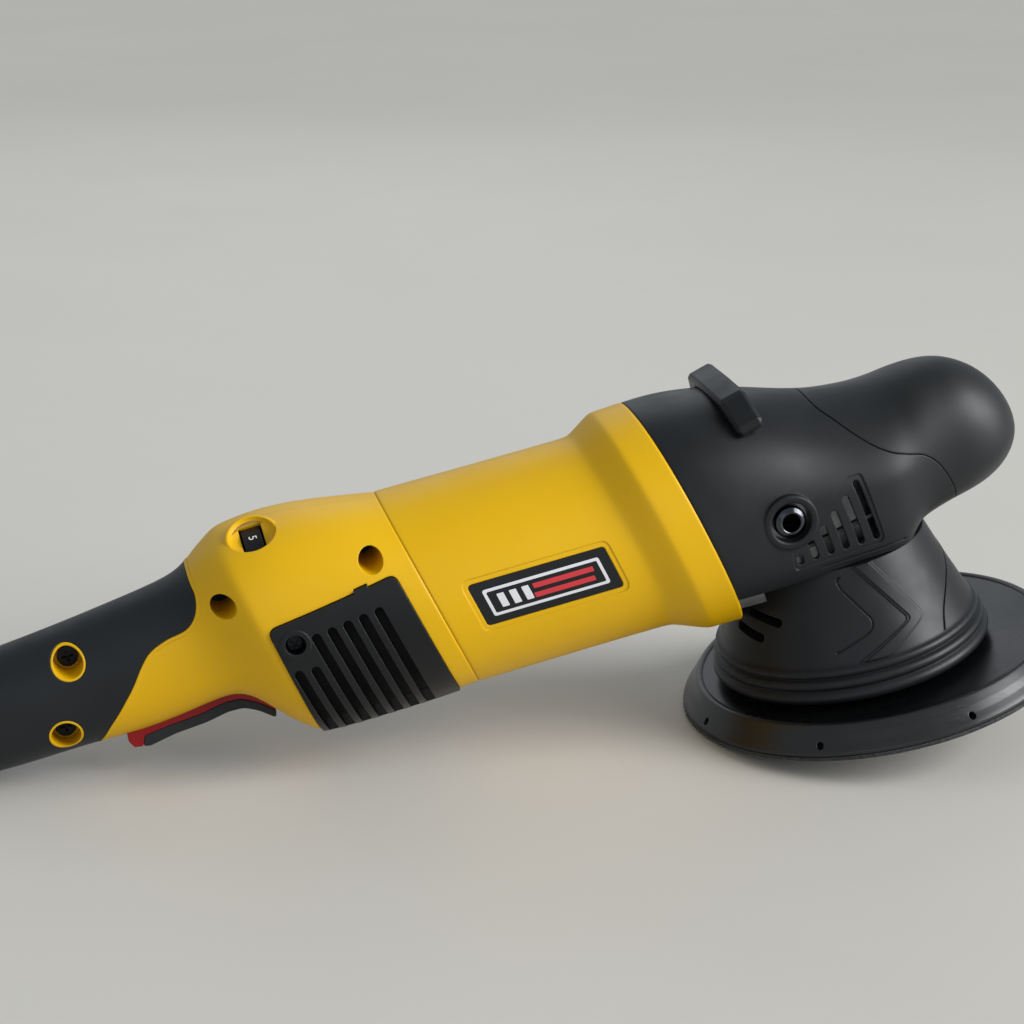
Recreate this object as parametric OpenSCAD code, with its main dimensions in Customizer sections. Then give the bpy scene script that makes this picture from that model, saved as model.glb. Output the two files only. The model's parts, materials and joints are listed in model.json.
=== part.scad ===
// Dual action polisher, standing on the rim of its backing plate and the end of its handle.
// Every sub-part is drawn in the tool's own frame: the spindle runs up Z through the origin,
// the working face of the plate is z = 0, and the motor lies along X with its handle at -X.
// stand() then tilts the whole tool until it rests on a table at z = 0.

/* [Motor body] */
// Height of the motor's axis above the plate's working face
motor_z = 85; // [84.5:0.5:86]
// Outer radius of the motor barrel
motor_r = 39; // [38.5:0.5:40]
// Lean of the seams that cross the body, in degrees
seam_lean = 14; // [12:1:16]
// Where the tail seam crosses the motor's axis
tail_seam = -153.5; // [-155:0.5:-152]
// Where the head seam crosses the motor's axis
head_seam = -54; // [-55:0.5:-53]
// Thickness of the moulded casings
wall = 2.4; // [2:0.2:2.8]

/* [Handle] */
// Rear end of the handle's collar
collar_end = -345; // [-352:1:-342]
// Where the collar meets the handle
collar_seam = -320; // [-322:1:-318]
// Radius of the rear collar
collar_r = 21.5; // [21:0.5:22.5]
// Radius of the hole that the mains lead enters by
cord_r = 4.6; // [3.5:0.1:5.5]
// Thickness of the rubber skin on the handle
skin = 2.1; // [1.6:0.1:2.4]

/* [Drive] */
// Teeth on the motor's bevel pinion
pinion_teeth = 12; // [12:12:12]
// Teeth on the spindle's bevel gear
gear_teeth = 36; // [36:12:36]
// Bevel gear module, at the large end of the teeth
gear_module = 1.25; // [1.2:0.05:1.3]
// Diameter of the orbit that the plate's centre follows
orbit = 15; // [12:1:15]

/* [Plate and shroud] */
// Diameter of the backing plate
plate_d = 150; // [140:1:152]
// Height of the plate's upper face
plate_top = 11.4; // [11:0.2:11.6]
// Radius of the shroud's lowest ring
shroud_r = 53.4; // [52:0.2:54]

/* [Side handle thread] */
// Tapping radius of the thread for the side handle
thread_r = 3.4; // [3:0.1:4.2]
// Depth of that thread
thread_depth = 16; // [12:1:16]

/* [Hidden] */

$fn = 64;
lean = tan(seam_lean);
throw = orbit / 2;
plate_r = plate_d / 2;
eps = 0.01;
far = 200;

// The tool is tilted until the plate's rear rim and the collar's lower edge reach one level.
collar_round = 4;
low_a = motor_z - collar_r + collar_round;
low_b = -collar_end - collar_round + throw - plate_r;
tilt = acos(collar_round / norm([low_a, low_b])) - atan2(low_b, low_a);
rear_x = (collar_end + collar_round) * cos(tilt)
  - (motor_z + collar_r - collar_round) * sin(tilt) - collar_round;
front_x = (plate_r + throw) * cos(tilt);
lift = (plate_r - throw) * sin(tilt);

module stand() {
  translate([-(rear_x + front_x) / 2, 0, lift]) rotate([0, -tilt, 0]) children();
}

// ---- Outlines of the casings -------------------------------------------------------------
// A row is [x, half width, height above the motor's axis, depth below it, squareness, lean],
// and a seventh number is the squareness of its upper half, where that differs.
sides = 36;
tail_rows = [
  [collar_seam, 19, 21.5, 21.5, 2.1, 0],
  [-306, 19, 22.3, 21.5, 2.2, 0],
  [-285, 19.5, 24.5, 20.5, 2.2, 0],
  [-265, 20.5, 27, 19.5, 2.2, 0],
  [-256, 21.2, 28.1, 16.8, 2.25, 0],
  [-246, 22.2, 29.6, 15, 2.3, 0],
  [-238, 23.6, 31.5, 14.5, 2.3, 0.05],
  [-230, 26.6, 34.8, 18.5, 2.35, 0.12],
  [-222, 31.4, 38.4, 30, 2.45, 0.2],
  [-216, 35.2, 41.1, 36.6, 2.5, 0.22],
  [-212, 36.4, 42.4, 38.8, 2.5, 0.22],
  [-200, 37.4, 44, 39.1, 2.5, 0.22],
  [-186, 38, 43.9, 39.2, 2.4, 0.23],
  [-170, 38.6, 41.5, 39.1, 2.3, 0.24],
  [tail_seam, motor_r, motor_r, motor_r, 2.05, lean]
];
motor_rows = [
  [tail_seam, motor_r, motor_r, motor_r, 2.05, lean],
  [-110, motor_r, motor_r, motor_r, 2, lean],
  [-79, motor_r, motor_r, motor_r, 2.05, lean],
  [-75, motor_r + 1.4, motor_r + 1.6, motor_r + 1.2, 2.1, lean],
  [-70.5, motor_r + 4, motor_r + 4.4, motor_r + 3.6, 2.15, lean],
  [-66, motor_r + 5, motor_r + 5.6, motor_r + 4.4, 2.2, lean],
  [head_seam, motor_r + 5.2, motor_r + 6.4, motor_r + 4.6, 2.2, lean]
];
head_rows = [
  [head_seam, motor_r + 5.2, motor_r + 6.4, motor_r + 4.6, 2.2, lean],
  [-42, 43.4, 45.8, 44, 2.35, lean],
  [-30, 41.8, 43.8, 44, 2.5, 0.2, 2.3],
  [-20, 40.4, 39.6, 44, 2.6, 0.12, 2.1],
  [-10, 39.2, 35.8, 44, 2.6, 0.05, 1.85],
  [2, 38.2, 33, 44, 2.6, 0, 1.7],
  [13, 36.9, 31.7, 44, 2.7, 0, 1.7],
  [20, 35.4, 31.1, 42, 2.7, 0, 1.75],
  [25, 33.4, 31.1, 33, 2.5, 0, 1.85],
  [30, 31.3, 31.3, 26.6, 2.3, 0, 1.95],
  [37, 29, 32, 24.6, 2.2, 0],
  [46, 27.2, 32.8, 22.6, 2.1, 0],
  [55, 26, 31.6, 21, 2.1, 0],
  [64, 22.8, 27, 18.4, 2, 0],
  [71, 17.6, 20.4, 13.8, 2, 0],
  [76, 10.6, 12, 8, 2, 0],
  [78.5, 3, 4, 2, 2, 0]
];

// One coordinate of a rounded-square outline.
function round_square(c, n) = sign(c) * pow(abs(c), 2 / n);
function row_point(row, a, grow) =
  let(square = sin(a) > 0 && len(row) > 6 ? row[6] : row[4])
  let(up = round_square(sin(a), square))
  let(z = up * (grow + (up > 0 ? row[2] : row[3])))
  [row[0] - row[5] * z, round_square(cos(a), square) * (row[1] + grow), motor_z + z];

// A closed solid through the rows, grown outwards or, with a negative number, inwards.
// Its two ends can be moved along X, by ends[0] at the back and ends[1] at the front.
module casing(rows, grow = 0, ends = [0, 0]) {
  last = len(rows) - 1;
  points = [for (r = [0:last]) for (i = [0:sides - 1])
    row_point(rows[r], i * 360 / sides, grow) + [r == 0 ? ends[0] : r == last ? ends[1] : 0, 0, 0]];
  walls = [for (r = [0:last - 1]) for (i = [0:sides - 1])
    let(k = (i + 1) % sides)
    each [
      [r * sides + i, (r + 1) * sides + i, (r + 1) * sides + k],
      [r * sides + i, (r + 1) * sides + k, r * sides + k]
    ]];
  back = [for (i = [0:sides - 1]) i];
  front = [for (i = [sides - 1:-1:0]) last * sides + i];
  polyhedron(points, concat(walls, [back, front]));
}

// A moulded casing is one closed mesh: resize() with zeros keeps its size.
module moulding() {
  $fn = 24;
  resize([0, 0, 0]) children();
}

// A flat shape drawn in X and Z, with a thickness across the tool from y0 to y1.
module across(y0, y1) {
  translate([0, y1, 0]) rotate([90, 0, 0]) linear_extrude(y1 - y0) children();
}

// A cylinder along X from x0 to x1, on the motor's axis.
module along_x(r, x0, x1) {
  translate([x0, 0, motor_z]) rotate([0, 90, 0]) cylinder(r = r, h = x1 - x0);
}

// A cylinder along Y from y0 to y1 through the point x, z.
module along_y(r, x, z, y0, y1) {
  translate([x, y0, z]) rotate([-90, 0, 0]) cylinder(r = r, h = y1 - y0);
}

// A cylinder up Z from z0 to z1.
module up_z(r, z0, z1) {
  translate([0, 0, z0]) cylinder(r = r, h = z1 - z0);
}

// Children square to the leaning seams, with their own origin at x on the motor's axis.
module leaning(x) {
  translate([x, 0, motor_z]) rotate([0, -seam_lean, 0]) children();
}

// Keeps the near side, y < 0, for side = -1, and the far side for side = 1.
module half(side) {
  intersection() {
    children();
    translate([-far * 2, side > 0 ? 0 : -far, -far]) cube([far * 3, far, far * 3]);
  }
}

// ---- Motor housing and labels --------------------------------------------------------------
label_len = 51;
label_high = 16.4;
label_x = -115.3;
label_z = 86.4;
label_thick = 0.8;
label_sink = 0.5;
flange_screw_r = 36.5;

module label_outline(grow) {
  offset(r = 1.5 + grow) offset(r = -1.5)
    polygon([
      [label_x - label_len / 2 - lean * label_high / 2, label_z + label_high / 2],
      [label_x + label_len / 2 - lean * label_high / 2, label_z + label_high / 2],
      [label_x + label_len / 2 + lean * label_high / 2, label_z - label_high / 2],
      [label_x - label_len / 2 + lean * label_high / 2, label_z - label_high / 2]
    ]);
}

module motor_housing() {
  color("gold") moulding() difference() {
    union() {
      difference() {
        casing(motor_rows);
        casing(motor_rows, -wall, [-1, 1]);
      }
      intersection() {
        casing(motor_rows, -0.5);
        leaning(head_seam) for (a = [45:90:315])
          rotate([a, 0, 0]) translate([-14, 0, flange_screw_r + 2]) rotate([0, 90, 0])
            cylinder(r = 7, h = 13);
      }
    }
    leaning(head_seam) for (a = [45:90:315])
      rotate([a, 0, 0]) translate([-13, 0, flange_screw_r]) rotate([0, 90, 0])
        cylinder(r = 1.8, h = 14);
    for (side = [-1, 1]) difference() {
      across(side > 0 ? 30 : -60, side > 0 ? 60 : -30) label_outline(0.2);
      along_x(motor_r - label_thick - 0.1, -160, -60);
    }
  }
}

// A badge is a slice of tube, sunk a little below the barrel.
module label(side) {
  color("black") intersection() {
    difference() {
      along_x(motor_r - label_sink + 0.2, -160, -60);
      along_x(motor_r - label_thick, -170, -50);
    }
    across(side > 0 ? 30 : -60, side > 0 ? 60 : -30) label_outline(0);
  }
}

// ---- Handle and tail casings ----------------------------------------------------------------
// Screws through the two casings, [x, z, radius of the tube that the screw sits in].
casing_screws = [[-173, 111.5, 5.6], [-227, 108.5, 5.6], [-285, 100.5, 6.1], [-293, 75, 6.1]];
screw_seat = 6;
skin_edge = [
  [-236.8, 135], [-236.4, 118], [-235.6, 112], [-237.5, 106], [-242, 101.8], [-250, 99.8],
  [-256.5, 97], [-261, 92.5], [-265.5, 86.5], [-272, 79], [-279, 71], [-284, 62], [-286, 40]
];
trigger_slot = 10.6;
dial_x = -210.5;
dial_y = -6.5;
dial_z = 116.4;
dial_r = 10.5;
dial_lean = 20;

module skin_region() {
  across(-60, 60) polygon(concat(skin_edge, [[collar_seam - 20, 40], [collar_seam - 20, 135]]));
}

brush_panel = [[-214.6, 98.6], [-166.4, 105.4], [-152.6, 50], [-152.6, 30], [-200, 30], [-206, 56]];

module panel_region(grow) {
  offset(r = 2.5 + grow) offset(r = -2.5) polygon(brush_panel);
}

module tail_core() {
  difference() {
    casing(tail_rows);
    difference() {
      skin_region();
      casing(tail_rows, -skin, [-1, 1]);
    }
    intersection() {
      casing(tail_rows, -wall, [-1, 1]);
      translate([-228, -60, 0]) cube([120, 120, 160]);
    }
    intersection() {
      casing(tail_rows, -skin - wall, [-1, 1]);
      translate([collar_seam - 10, -60, 0]) cube([100, 120, 160]);
    }
    across(-trigger_slot, trigger_slot)
      polygon([[-274, 30], [-274, 74], [-229, 79], [-221, 75], [-216.6, 67], [-216.6, 30]]);
  }
}

module handle_shell(side) {
  color("gold") moulding() difference() {
    union() {
      difference() {
        half(side) tail_core();
        across(side > 0 ? 20 : -60, side > 0 ? 60 : -20) panel_region(0.3);
      }
      for (s = casing_screws) intersection() {
        half(side) casing(tail_rows, s[2] > 6 ? 0 : -0.4);
        along_y(s[2], s[0], s[1], -60, 60);
      }
    }
    for (s = casing_screws) {
      if (side < 0) along_y(s[2] - 1.2, s[0], s[1], -60, -screw_seat);
      along_y(1.7, s[0], s[1], -60, 16);
    }
    along_y(1.55, pivot[0], pivot[1], -pin_half - 0.3, pin_half + 0.3);
    translate([dial_x, dial_y, dial_z]) rotate([dial_lean, 0, 0]) {
      translate([-4.2, -6.5, 0]) cube([8.4, 13, 30]);
      translate([-4.2, -12, -12]) cube([8.4, 24, 20.8]);
      translate([0, 0, 17.4]) scale([1.3, 1, 1]) sphere(r = 9);
    }
  }
}

module grip_skin(side) {
  color([0.16, 0.17, 0.18]) moulding() difference() {
    intersection() {
      half(side) casing(tail_rows);
      skin_region();
    }
    casing(tail_rows, -skin, [-1, 1]);
    for (s = casing_screws) along_y(6.2, s[0], s[1], -60, 60);
  }
}

module rear_collar() {
  color([0.13, 0.14, 0.15]) translate([collar_end, 0, motor_z]) rotate([0, 90, 0])
    rotate_extrude() difference() {
      union() {
        translate([0, collar_round]) square([collar_r, collar_seam - collar_end - collar_round]);
        square([collar_r - collar_round, collar_round + eps]);
        translate([collar_r - collar_round, collar_round]) circle(r = collar_round);
        square([13.6, collar_seam - collar_end + 8]);
      }
      translate([-1, -1]) square([cord_r + 1, 30]);
      translate([-1, 13]) square([12, 30]);
      translate([-10, -10]) square([10, 60]);
    }
}

module cord_clamp() {
  color([0.2, 0.2, 0.2]) difference() {
    translate([-309, -11, motor_z - 9]) cube([9, 22, 5]);
    along_y(0.8, -304.5, motor_z - 3.6, -12, 12);
  }
  color("silver") for (y = [-8, 8]) translate([-304.5, y, motor_z - 4]) {
    cylinder(r = 3, h = 2);
  }
}

module housing_screws() {
  color("dimgray") for (s = casing_screws) {
    difference() {
      along_y(3.8, s[0], s[1], -screw_seat - 2.6, -screw_seat);
      for (a = [0, 90]) translate([s[0], -screw_seat - 2, s[1]]) rotate([0, a, 0])
        cube([0.9, 2, 4.2], center = true);
    }
    along_y(1.5, s[0], s[1], -screw_seat - eps, 14);
  }
}

// ---- Speed control -----------------------------------------------------------------------------
module speed_dial() {
  color([0.08, 0.08, 0.09]) translate([dial_x, dial_y, dial_z]) rotate([0, 90, 0])
    difference() {
      translate([0, 0, -3.4]) cylinder(r = dial_r, h = 6.8);
      translate([0, 0, -4]) cylinder(r = 2.55, h = 8);
      for (a = [0:20:340]) rotate([0, 0, a]) translate([dial_r + 0.35, 0, 0])
        cylinder(r = 0.75, h = 10, center = true);
    }
}

module speed_board() {
  color("seagreen") translate([dial_x - 8, -18, 98]) cube([24, 36, 1.6]);
  color("darkslategray") {
    translate([dial_x + 5, dial_y - 6, 99.6]) cube([5, 12, 24]);
    translate([dial_x - 3.5, dial_y, dial_z]) rotate([0, 90, 0]) cylinder(r = 2.5, h = 9);
    translate([dial_x + 11, 6, 99.6]) cylinder(r = 4, h = 9);
  }
}

// ---- Brush covers ---------------------------------------------------------------------------------
slot_pitch = 6.1;
slot_wide = 3.1;
first_slot = -170.4;
cover_screw = [-206.4, 91.4];

module cover_slots() {
  for (i = [0:6]) translate([first_slot - i * slot_pitch, 76]) hull() {
    top = i > 4 ? 4 : 19 - 0.8 * i;
    translate([-lean * top, top]) circle(r = slot_wide / 2, $fn = 16);
    translate([lean * 30, -30]) circle(r = slot_wide / 2, $fn = 16);
  }
}

module brush_cover(side) {
  y0 = side > 0 ? 20 : -60;
  color([0.12, 0.13, 0.14]) moulding() difference() {
    union() {
      intersection() {
        half(side) difference() {
          casing(tail_rows, 0.9);
          casing(tail_rows, -wall, [-1, 1]);
        }
        across(y0, y0 + 40) panel_region(0);
      }
      intersection() {
        half(side) casing(tail_rows, 1.3);
        along_y(4.6, cover_screw[0], cover_screw[1], side > 0 ? 24 : -60, side > 0 ? 60 : -24);
      }
    }
    difference() {
      across(y0, y0 + 40) cover_slots();
      casing(tail_rows, -wall + 0.8, [-1, 1]);
    }
    along_y(1.8, cover_screw[0], cover_screw[1], -60, 60, $fn = 24);
    along_y(3.1, cover_screw[0], cover_screw[1],
      side > 0 ? 34.2 : -60, side > 0 ? 60 : -34.2, $fn = 32);
    leaning(tail_seam) translate([-0.3, -60, -60]) cube(120);
  }
}

module brush_cover_screws() {
  color("dimgray") for (side = [-1, 1]) scale([1, side, 1])
    difference() {
      union() {
        along_y(2.9, cover_screw[0], cover_screw[1], 34.2, 35.8);
        along_y(1.5, cover_screw[0], cover_screw[1], 20, 34.2);
      }
      for (a = [0, 90]) translate([cover_screw[0], 36, cover_screw[1]]) rotate([0, a, 0])
        cube([0.8, 1.8, 3.4], center = true);
    }
}

// ---- Trigger and switch ------------------------------------------------------------------------------
pivot = [-267, 70.4];
pin_half = 12.2;
trigger_half = 9.8;
plunger_x = -238;

module trigger() {
  color([0.6, 0.1, 0.11]) difference() {
    across(-trigger_half, trigger_half) polygon([
      [-272.4, 73], [-273.2, 64], [-271.8, 61.2], [-268.6, 60.6], [-267, 64.4], [-258, 65.2],
      [-246, 65.6], [-236, 67], [-230, 66.6], [-224.4, 63.2], [-219, 58.4], [-218, 60.6],
      [-220.4, 66], [-224.4, 71], [-229, 73.6], [-264, 73.6]
    ]);
    along_y(1.56, pivot[0], pivot[1], -20, 20);
  }
}

module trigger_pad() {
  color([0.17, 0.18, 0.19]) across(-trigger_half, trigger_half) polygon([
    [-267, 64.4], [-268.6, 60.6], [-266, 60], [-256, 61.4], [-244, 61.8], [-236, 63],
    [-230, 62.8], [-225, 60], [-219.6, 55.4], [-219, 58.4], [-224.4, 63.2], [-230, 66.6],
    [-236, 67], [-246, 65.6], [-258, 65.2]
  ]);
}

module trigger_pin() {
  color("silver") along_y(1.5, pivot[0], pivot[1], -pin_half, pin_half);
}

module switch_body() {
  color([0.15, 0.15, 0.16]) difference() {
    translate([-258, -9, 80]) cube([28, 18, 20]);
    translate([plunger_x, 0, 79]) cylinder(r = 3.06, h = 14);
  }
}

module switch_plunger() {
  color("whitesmoke") translate([plunger_x, 0, 74.2]) cylinder(r = 3, h = 12);
}

// ---- Motor ---------------------------------------------------------------------------------------------
stator = [-142, -94];
shaft_r = 6;

module stator_core() {
  color("slategray") difference() {
    along_x(36, stator[0], stator[1]);
    along_x(21.8, stator[0] - 1, stator[1] + 1);
    for (side = [-1, 1]) difference() {
      translate([stator[0] - 1, side > 0 ? 8 : -27, motor_z - 20]) cube([50, 19, 40]);
      along_x(24.5, stator[0] - 2, stator[1] + 2);
    }
  }
}

module field_coils() {
  color([0.72, 0.4, 0.2]) for (end = [[stator[0] - 7, stator[0]], [stator[1], stator[1] + 7]])
    difference() {
      along_x(34.5, end[0], end[1]);
      along_x(25, end[0] - 1, end[1] + 1);
      translate([end[0] - 1, -40, motor_z - 7]) cube([9, 80, 14]);
    }
}

module fan_baffle() {
  color([0.18, 0.18, 0.2]) difference() {
    along_x(36.3, -86.4, -84);
    along_x(25, -88, -82);
  }
}

module armature_shaft() {
  color("silver") {
    along_x(4, -190, -172);
    along_x(shaft_r, -172, -42);
    along_x(3.5, -42, -17);
  }
}

module armature_core() {
  color("lightslategray") difference() {
    along_x(21, stator[0] + 3, stator[1] - 3);
    along_x(shaft_r, stator[0], stator[1]);
    for (a = [0:30:330]) translate([0, 0, motor_z]) rotate([a, 0, 0])
      translate([stator[0], -0.9, 17]) cube([50, 1.8, 6]);
  }
}

module armature_windings() {
  color([0.72, 0.4, 0.2]) for (end = [[stator[0] - 6, stator[0] + 3], [stator[1] - 3, stator[1] + 6]])
    difference() {
      along_x(18.5, end[0], end[1]);
      along_x(shaft_r, end[0] - 1, end[1] + 1);
    }
}

module commutator() {
  color([0.78, 0.48, 0.28]) difference() {
    along_x(13, -170, -154);
    along_x(shaft_r, -172, -150);
    for (a = [0:15:345]) translate([0, 0, motor_z]) rotate([a, 0, 0])
      translate([-171, -0.25, 12]) cube([15, 0.5, 3]);
  }
}

module cooling_fan() {
  color([0.2, 0.2, 0.22]) difference() {
    union() {
      along_x(29.6, -82, -80);
      along_x(11, -82, -70);
      for (a = [0:30:330]) translate([0, 0, motor_z]) rotate([a, 0, 0])
        translate([-80.5, -0.8, 9]) cube([10.5, 1.6, 20]);
    }
    along_x(shaft_r, -84, -66);
  }
}

// A ball bearing along Z from z = 0: two races, a cage of balls and a clear bore.
module bearing(bore, outer, high) {
  mid = (bore + outer) / 2;
  ball = (outer - bore) * 0.26;
  color("silver") {
    for (race = [[bore, mid - ball * 0.62], [mid + ball * 0.62, outer]])
      rotate_extrude() difference() {
        translate([race[0], 0]) square([race[1] - race[0], high]);
        translate([mid, high / 2]) circle(r = ball + 0.1);
      }
    for (a = [0:45:315]) rotate([0, 0, a]) translate([mid, 0, high / 2]) sphere(r = ball);
  }
}

module bearing_on_x(bore, outer, x0, wide) {
  translate([x0, 0, motor_z]) rotate([0, 90, 0]) bearing(bore, outer, wide);
}

module rear_bearing() {
  bearing_on_x(4.02, 11, -187, 7);
}

module front_bearing() {
  bearing_on_x(shaft_r + 0.02, 16, -56, 10);
}

// Carries the rear bearing and the brush holders, inside the tail.
module brush_frame() {
  color([0.16, 0.16, 0.18]) difference() {
    union() {
      along_x(15, -189, -178);
      difference() {
        along_x(28, -180, -177);
        translate([-181, -30, motor_z + 19.5]) cube([5, 60, 12]);
      }
      for (side = [-1, 1]) translate([-180, -7, motor_z + (side > 0 ? 15.5 : -19.5)])
        cube([30, 14, 4]);
      for (side = [-1, 1]) translate([-178, side > 0 ? 15 : -28, motor_z - 7])
        cube([11, 13, 14]);
    }
    along_x(11, -187, -170);
    along_x(8, -195, -185);
  }
}

brush_x = -162;

module brush_holder(side) {
  color("goldenrod") difference() {
    translate([brush_x - 5, side > 0 ? 15 : -32, motor_z - 7]) cube([10, 17, 14]);
    translate([brush_x - 3.1, side > 0 ? 10 : -31, motor_z - 5.1]) cube([6.2, 21, 10.2]);
  }
}

module carbon_brush(side) {
  color([0.15, 0.15, 0.16]) translate([brush_x - 3, side > 0 ? 13.05 : -24.05, motor_z - 5])
    cube([6, 11, 10]);
}

module brush_spring(side) {
  color("silver") for (i = [0:3]) translate([brush_x, side * (25 + i * 1.5), motor_z])
    rotate([90, 0, 0]) rotate_extrude() translate([2.2, 0]) circle(r = 0.4);
}

// ---- Bevel gears and spindle ---------------------------------------------------------------------------
// Straight bevel gear with its cone's apex at the origin and its teeth towards the apex.
backlash = 0.3;
tooth_len = 0.3;

module bevel(teeth, mate, bore_r, hub_r, hub_end) {
  cone = atan2(teeth, mate);
  big = gear_module * norm([teeth, mate]) / 2;
  add = 0.75 * gear_module;
  ded = 1.05 * gear_module;
  half_w = PI * gear_module / 4 - backlash / 2;
  small = 1 - tooth_len;
  root_r = big * sin(cone) - ded * cos(cone);
  root_z = big * cos(cone) + ded * sin(cone);
  out = [sin(cone), 0, cos(cone)];
  up = [cos(cone), 0, -sin(cone)];
  side = [0, 1, 0];
  flank = tan(20);
  corners = [
    [-ded - 0.3, half_w + ded * flank], [-ded - 0.3, -half_w - ded * flank],
    [add, -half_w + add * flank], [add, half_w - add * flank]
  ];
  points = [for (k = [1, small]) for (c = corners) k * (big * out + c[0] * up + c[1] * side)];
  difference() {
    union() {
      translate([0, 0, root_z * small])
        cylinder(h = root_z * (1 - small), r1 = root_r * small, r2 = root_r);
      translate([0, 0, root_z - eps]) cylinder(h = 3, r = root_r);
      translate([0, 0, root_z - eps]) cylinder(h = hub_end - root_z, r = hub_r);
      for (i = [0:teeth - 1]) rotate([0, 0, (i + (teeth > mate ? 0.5 : 0)) * 360 / teeth])
        polyhedron(points, [
          [3, 2, 1, 0], [4, 5, 6, 7], [1, 5, 4, 0], [2, 6, 5, 1], [3, 7, 6, 2], [0, 4, 7, 3]
        ]);
    }
    translate([0, 0, -1]) cylinder(h = hub_end + 20, r = bore_r);
  }
}

module drive_pinion() {
  color("darkgray") translate([0, 0, motor_z]) rotate([0, -90, 0])
    bevel(pinion_teeth, gear_teeth, 3.5, 6, 41);
}

module bevel_gear() {
  color("gray") translate([0, 0, motor_z]) rotate([180, 0, 0])
    bevel(gear_teeth, pinion_teeth, 6, 11, 24);
}

spindle_top = 104;
ecc_top = 46;

module spindle() {
  color("silver") {
    up_z(6, ecc_top - 4, 96);
    up_z(4, 96, spindle_top);
  }
}

module upper_bearing() {
  translate([0, 0, 97]) bearing(4.02, 9, 6);
}

module lower_bearing() {
  translate([0, 0, 49]) bearing(6.02, 16, 10);
}

// ---- Gear case ------------------------------------------------------------------------------------------
bush_x = -24;
bush_r = 6.1;
case_r = 27.5;
ear_at = 28;
cover_half = 41;

module ears(r, h) {
  for (a = [45:90:315]) rotate([0, 0, a]) translate([ear_at, 0, 0]) cylinder(r = r, h = h);
}

module gear_case() {
  color([0.72, 0.73, 0.74]) difference() {
    union() {
      leaning(head_seam) rotate([0, 90, 0]) cylinder(r = 41.2, h = 8);
      along_x(27, -50, -12);
      up_z(case_r, 60, 100);
      up_z(14, 99, 106);
      translate([0, 0, 60]) ears(4.5, 16);
      along_y(9.4, bush_x, motor_z, -cover_half + 4.6, cover_half - 4.6);
    }
    up_z(25.5, 59, 95);
    translate([0, 0, 39]) cylinder(r1 = 43.8, r2 = 36.6, h = 21);
    up_z(9, 94, 104.5);
    along_x(16, -60, -46);
    along_x(10.5, -48, -8);
    for (side = [-1, 1])
      along_y(bush_r, bush_x, motor_z, side > 0 ? 19 : -cover_half, side > 0 ? cover_half : -19);
    translate([0, 0, 59]) ears(1.9, 13);
    leaning(head_seam) for (a = [45:90:315])
      rotate([a, 0, 0]) translate([-1, 0, flange_screw_r]) rotate([0, 90, 0])
        cylinder(r = 2.2, h = 12);
  }
}

module bearing_plate() {
  color([0.66, 0.67, 0.69]) difference() {
    union() {
      up_z(case_r, 55, 60);
      up_z(20, 47, 57);
      translate([0, 0, 55]) ears(4.5, 5);
    }
    up_z(16, 49, 61);
    up_z(9, 40, 62);
    translate([0, 0, 54]) ears(2.2, 8);
  }
}

module bearing_plate_screws() {
  color("dimgray") for (a = [45:90:315]) rotate([0, 0, a]) translate([ear_at, 0, 0]) difference() {
    union() {
      up_z(3.2, 51.6, 55);
      up_z(1.8, 55 - eps, 70);
    }
    up_z(1.5, 50, 53.6);
  }
}

module flange_screws() {
  color("dimgray") leaning(head_seam) for (a = [45:90:315])
    rotate([a, 0, 0]) translate([0, 0, flange_screw_r]) rotate([0, 90, 0]) {
      translate([0, 0, 8]) cylinder(r = 3.2, h = 3);
      translate([0, 0, -11]) cylinder(r = 1.7, h = 19 + eps);
    }
}

module handle_bush(side) {
  y_in = side * 20;
  y_out = side * (cover_half + 0.3);
  color([0.35, 0.36, 0.38]) difference() {
    union() {
      along_y(bush_r, bush_x, motor_z, min(y_in, y_out), max(y_in, y_out));
      translate([bush_x, y_out, motor_z]) rotate([-90 * side, 0, 0])
        cylinder(r1 = bush_r, r2 = 4.4, h = 1.2);
    }
    along_y(thread_r, bush_x, motor_z,
      side > 0 ? cover_half + 1.5 - thread_depth : -60,
      side > 0 ? 60 : -cover_half - 1.5 + thread_depth);
  }
}

// ---- Head cover, grip, bumper and shroud -------------------------------------------------------------
cover_low = 60;
grip_edge = [
  [-3, 140], [-1.3, 119], [5, 110], [13, 101.5], [20, 96.4], [27, 93.4], [33, 91], [38, 86],
  [42, 78], [45.4, 68], [47.4, 58], [48, 40]
];
vent_pitch = 6.1;

module grip_region(gap) {
  across(-60, 60) offset(delta = gap) polygon(concat(grip_edge, [[100, 40], [100, 140]]));
}

module vent_slots() {
  for (i = [0:5]) hull() {
    translate([8 - vent_pitch * i, 68.4]) circle(r = 1.35, $fn = 16);
    translate([8 - vent_pitch * i - 0.19 * (22 - 4.1 * i), 90.4 - 4.1 * i])
      circle(r = 1.35, $fn = 16);
  }
}

module head_cover() {
  color([0.13, 0.14, 0.15]) moulding() difference() {
    union() {
      casing(head_rows);
      along_y(10.3, bush_x, motor_z, -cover_half - 0.9, cover_half + 0.9, $fn = 32);
    }
    casing(head_rows, -wall, [-1, 0]);
    grip_region(0);
    up_z(case_r + 1.1, 50, 66);
    translate([-far, -far, cover_low - far]) cube([2 * far, 2 * far, far]);
    along_y(9.5, bush_x, motor_z, -cover_half + 4, cover_half - 4);
    along_y(7.4, bush_x, motor_z, -60, 60, $fn = 32);
    across(-60, 60) vent_slots();
  }
}

module front_grip() {
  color([0.15, 0.16, 0.17]) moulding() difference() {
    intersection() {
      casing(head_rows);
      grip_region(-0.35);
    }
    casing(head_rows, -3.2, [0, -3.2]);
  }
}

bumper_wide = 10.6;
bumper_top = 47.8;

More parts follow.
